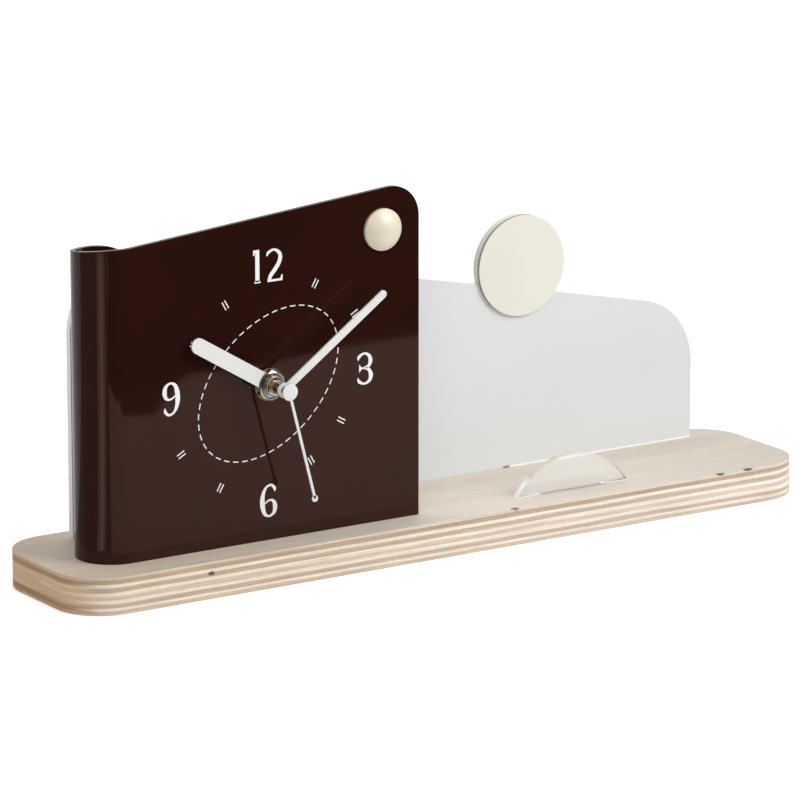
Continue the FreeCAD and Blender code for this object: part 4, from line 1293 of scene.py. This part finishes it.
class DESKCLOCK_OT_panel(bpy.types.Operator):
    """Cut the frosted panel, the cream disc on its edge and the clear card stop"""
    bl_idname = "desk_clock.panel"
    bl_label = "Panel And Stop"

    def execute(self, context):
        settings = context.scene.desk_clock_panel
        sheet = prism("frosted_sheet", [panel_outline(settings)], panel_low.y, panel_high.y)
        finished(smooth(sheet, 0.2 * MM, 2), frosted_acrylic(settings), "stand", "frosted_acrylic",
                 "frosted_panel")

        cream = cream_satin("cream_disc", settings.disc)
        # Painted shade on the front disc's rim, darkened to 0.42 of the cream.
        painted_shade_cream = cream_satin("cream_disc_painted_rim_shade", settings.disc, 0.5, 0.42)
        low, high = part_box("marker_front")
        centre = (low + high) / 2
        radius = (high.x - low.x) / 2
        face = prism("marker_disc_face", [circle((centre.x, centre.z), radius, 128)], low.y, high.y)
        finished(smooth(face, 0.15 * MM, 2), painted_shade_cream, "stand", "cream_satin", "marker_front")
        low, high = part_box("marker_back")
        back = prism("marker_disc_back", [disc_above_edge(settings, centre, radius)], low.y, high.y)
        finished(smooth(back, 0.15 * MM, 2), cream, "stand", "cream_satin", "marker_back")

        stop = prism("clear_stop", [stop_outline(settings)], stop_low.y, stop_high.y)
        finished(smooth(stop, 0.15 * MM, 2), clear_acrylic(settings), "stand", "clear_acrylic", "card_stop")
        return {"FINISHED"}


class DESKCLOCK_OT_button(bpy.types.Operator):
    """Turn the domed button and finish its magnet"""
    bl_idname = "desk_clock.button"
    bl_label = "Magnet Button"

    def execute(self, context):
        settings = context.scene.desk_clock_panel
        low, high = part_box("magnet_cap")
        centre = (low + high) / 2
        radius = (high.x - low.x) / 2
        rim, pocket, depth = 1.2 * MM, 6.05 * MM, 2.05 * MM
        rise = high.y - low.y - rim
        ball = (radius ** 2 + rise ** 2) / (2 * rise)
        wide = math.asin(radius / ball)
        steps = 20
        dome = [(ball * math.sin(wide * step / steps), low.y + ball * (1 - math.cos(wide * step / steps)))
                for step in range(steps + 1)]
        profile = [*dome, (radius, high.y), (pocket, high.y), (pocket, high.y - depth), (0, high.y - depth)]
        cap = smooth(turned("button_dome", profile, centre, 96), 0.0, 2, math.radians(40))
        cream = cream_satin("cream_button", settings.button, 0.9)
        finished(cap, cream, "button_magnet", "cream_satin", "magnet_cap")
        repaint(turned_metal("magnet_ferrite", (0.16, 0.16, 0.17), 0.42, 900.0), "magnet")
        return {"FINISHED"}


# Movement behind the plate

class DESKCLOCK_OT_movement(bpy.types.Operator):
    """Finish the movement's case, cell, contacts, motor and train"""
    bl_idname = "desk_clock.movement"
    bl_label = "Movement"

    def execute(self, context):
        repaint(moulded("black_plastic", (0.022, 0.022, 0.024), 0.5), "movement_case", "movement_cover",
                "setting_knob")
        repaint(moulded("black_rubber", (0.018, 0.018, 0.018), 0.75, 900.0, 0.03 * MM), "gasket")
        repaint(moulded("nylon", (0.75, 0.73, 0.66), 0.45, 3000.0), "third_wheel", "motion_wheel",
                "step_wheel", "coil_bobbin")
        repaint(turned_metal("rotor_ferrite", (0.17, 0.16, 0.16), 0.4), "rotor")
        repaint(turned_metal("soft_iron", (0.55, 0.54, 0.52), 0.32, 600.0), "stator", "coil_core")
        repaint(winding_wire(), "coil_winding")
        repaint(moulded("board_laminate", (0.05, 0.16, 0.08), 0.4, 1200.0), "circuit_board")
        repaint(moulded("black_resin", (0.012, 0.012, 0.012), 0.35), "chip")
        repaint(turned_metal("contact_steel", (0.74, 0.73, 0.70), 0.2, 700.0), "crystal", "contact_left",
                "contact_right")
        repaint(cell_wrap(), "battery_cell")
        return {"FINISHED"}


# Stage

def white_unless_lighting(tree, shader_socket, lit, strength_lit):
    """Show white to the camera, to gloss and to clear sheet, and the plain light to all else."""
    path = tree.nodes.new("ShaderNodeLightPath")
    seen = path.outputs["Is Camera Ray"]
    for name in ("Is Glossy Ray", "Is Transmission Ray"):
        larger = tree.nodes.new("ShaderNodeMath")
        larger.operation = "MAXIMUM"
        tree.links.new(seen, larger.inputs[0])
        tree.links.new(path.outputs[name], larger.inputs[1])
        seen = larger.outputs[0]
    white = tree.nodes.new("ShaderNodeBackground")
    white.inputs["Strength"].default_value = 1.0
    lit.inputs["Strength"].default_value = strength_lit
    blend = tree.nodes.new("ShaderNodeMixShader")
    tree.links.new(seen, blend.inputs["Fac"])
    tree.links.new(lit.outputs[0], blend.inputs[1])
    tree.links.new(white.outputs[0], blend.inputs[2])
    tree.links.new(blend.outputs[0], shader_socket)


def floor_finish():
    """Pale paper that stays white to the camera but keeps the object's shadow."""
    finish = Finish("pale_floor", (0.82, 0.82, 0.82), 0.9)
    finish.set(Specular_IOR_Level=0.0)
    fibre = finish.noise(900.0, 2.0)
    finish.paint(finish.mix(finish.between(fibre, 0.3, 0.7), (0.81, 0.81, 0.81), (0.83, 0.83, 0.83)))
    glows = []
    for strength in (0.0, 0.42):
        glows.append(finish.tree.nodes.new("ShaderNodeEmission"))
        glows[-1].inputs["Strength"].default_value = strength
    path = finish.tree.nodes.new("ShaderNodeLightPath")
    seen = finish.math("MAXIMUM", path.outputs["Is Camera Ray"], path.outputs["Is Transmission Ray"])
    chosen = finish.tree.nodes.new("ShaderNodeMixShader")
    total = finish.tree.nodes.new("ShaderNodeAddShader")
    finish.link(seen, chosen.inputs["Fac"])
    finish.link(glows[0].outputs[0], chosen.inputs[1])
    finish.link(glows[1].outputs[0], chosen.inputs[2])
    finish.link(finish.shader.outputs[0], total.inputs[0])
    finish.link(chosen.outputs[0], total.inputs[1])
    finish.link(total.outputs[0], finish.tree.nodes["Material Output"].inputs["Surface"])
    return finish.material


def area_light(name, place, target, width, height, power, glossy=True):
    """A soft box at a place, aimed at a target."""
    data = bpy.data.lights.new(name, "AREA")
    data.shape = "RECTANGLE"
    data.size = width
    data.size_y = height
    data.energy = power
    lamp = bpy.data.objects.new(name, data)
    bpy.context.scene.collection.objects.link(lamp)
    lamp.location = place
    lamp.rotation_euler = (Vector(target) - Vector(place)).to_track_quat("-Z", "Y").to_euler()
    lamp.visible_glossy = glossy
    lamp.visible_camera = False
    return lamp


# Cards on the floor that only gloss mirrors: outline in millimetres, height in millimetres and glow.
# The near edge of the dark one is where the plate's mirror picture of the pale paper ends, and
# the glowing ones make the bright strip along the whole height of the plate's fold.
FLAG_EDGE = (
    (-480, -533), (-419, -396), (-372, -307), (-291, -328), (-170, -340), (-114, -315),
    (-57, -301), (-25, -289), (4, -274), (11, -282), (20, -294), (37, -314), (52, -329),
    (61, -332), (72, -330), (114, -326), (157, -333), (196, -335), (1500, -345),
)
CARDS = {
    "stage_flag": ((*FLAG_EDGE, (1500, -2600), (-1800, -2600)), 0.3, 0.0),
    "stage_side": (((-178, -60), (-900, -1100), (-3000, -1100), (-3000, 1500), (-176, 90)), 0.1, 0.28),
    "stage_strip_wide": (((-205, -52), (-600, -480), (-760, -260), (-215, -22)), 0.2, 1.1),
    "stage_strip": (((-208, -44), (-640, -420), (-700, -340), (-212, -34)), 0.4, 1.9),
}


def mirror_card(name):
    """A dark or a glowing card, there only for what gloss mirrors of the studio."""
    outline, height, glow = CARDS[name]

    def build(bm):
        bm.faces.new([bm.verts.new((x * MM, y * MM, height * MM)) for x, y in outline])
    card = new_piece(name, build)
    finish = Finish(name, (0.012, 0.010, 0.010), 0.9)
    finish.set(Specular_IOR_Level=0.0, Emission_Color=(1.0, 1.0, 1.0, 1.0), Emission_Strength=glow)
    finish.rough(finish.noise(60.0), 0.85, 0.95)
    card.data.materials.append(finish.material)
    for ray in ("camera", "diffuse", "transmission", "volume_scatter", "shadow"):
        setattr(card, "visible_" + ray, False)


def studio_world(scene, strength):
    """Even light from all sides, behind a white background."""
    world = bpy.data.worlds.new("studio")
    scene.world = world
    world.use_nodes = True
    tree = world.node_tree
    white_unless_lighting(tree, tree.nodes["World Output"].inputs["Surface"],
                          tree.nodes["Background"], strength)
    tree.nodes["Background"].inputs["Color"].default_value = (1.0, 0.99, 0.975, 1.0)


def studio_camera(scene, lens):
    """A long lens from the front left, a little above the object."""
    camera = bpy.data.objects.new("camera", bpy.data.cameras.new("camera"))
    scene.collection.objects.link(camera)
    camera.data.sensor_width = 36.0
    camera.data.lens = lens
    camera.data.clip_end = 50.0
    camera.location = (-1.16674, -1.78126, 0.58699)
    aim = Vector((-0.0290, -0.03466, 0.06801)) - camera.location
    camera.rotation_euler = aim.to_track_quat("-Z", "Y").to_euler()
    scene.camera = camera


class DESKCLOCK_OT_stage(bpy.types.Operator):
    """Set the pale floor, the soft lights, the world and the camera"""
    bl_idname = "desk_clock.stage"
    bl_label = "Stage"

    def execute(self, context):
        scene = context.scene
        settings = scene.desk_clock_stage
        scene.view_settings.view_transform = "Standard"

        half = 6.0
        paper = prism("stage_floor", [[(-half, -half), (half, -half), (half, half), (-half, half)]],
                      -20 * MM, -0.2 * MM, "Z")
        paper.data.materials.append(floor_finish())
        for name in CARDS:
            mirror_card(name)
        studio_world(scene, settings.fill)

        target = (0.0, 0.0, 0.05)
        area_light("key_box", (1.54, -1.82, 1.59), target, 1.54, 1.54, settings.key)
        area_light("top_box", (-0.1, 0.3, 1.7), target, 1.6, 1.2, settings.key * 0.23)
        area_light("left_box", (-1.15, -1.55, 1.0), target, 0.9, 1.2, settings.key * 0.10, False)
        studio_camera(scene, settings.lens)
        return {"FINISHED"}


class DESKCLOCK_PT_panel(bpy.types.Panel):
    """The desk clock's pieces and settings"""
    bl_idname = "DESKCLOCK_PT_panel"
    bl_label = "Desk Clock"
    bl_space_type = "VIEW_3D"
    bl_region_type = "UI"
    bl_category = "Desk Clock"

    def draw(self, context):
        for operator in OPERATORS:
            self.layout.operator(operator.bl_idname)
        for name, group in SETTINGS.items():
            box = self.layout.box()
            for key in group.__annotations__:
                box.prop(getattr(context.scene, name), key)


OPERATORS = (
    DESKCLOCK_OT_base,
    DESKCLOCK_OT_plate,
    DESKCLOCK_OT_print,
    DESKCLOCK_OT_hands,
    DESKCLOCK_OT_hub,
    DESKCLOCK_OT_panel,
    DESKCLOCK_OT_button,
    DESKCLOCK_OT_movement,
    DESKCLOCK_OT_stage,
)


def register():
    for name, group in SETTINGS.items():
        bpy.utils.register_class(group)
        setattr(bpy.types.Scene, name, PointerProperty(type=group))
    for kind in (*OPERATORS, DESKCLOCK_PT_panel):
        bpy.utils.register_class(kind)


def unregister():
    for kind in reversed((*OPERATORS, DESKCLOCK_PT_panel)):
        bpy.utils.unregister_class(kind)
    for name, group in SETTINGS.items():
        delattr(bpy.types.Scene, name)
        bpy.utils.unregister_class(group)


def main():
    """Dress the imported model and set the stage."""
    register()
    bpy.ops.desk_clock.base()
    bpy.ops.desk_clock.plate()
    bpy.ops.desk_clock.dial_print()
    bpy.ops.desk_clock.hands()
    bpy.ops.desk_clock.hub()
    bpy.ops.desk_clock.panel()
    bpy.ops.desk_clock.button()
    bpy.ops.desk_clock.movement()
    bpy.ops.desk_clock.stage()


if __name__ == "__main__":
    main()
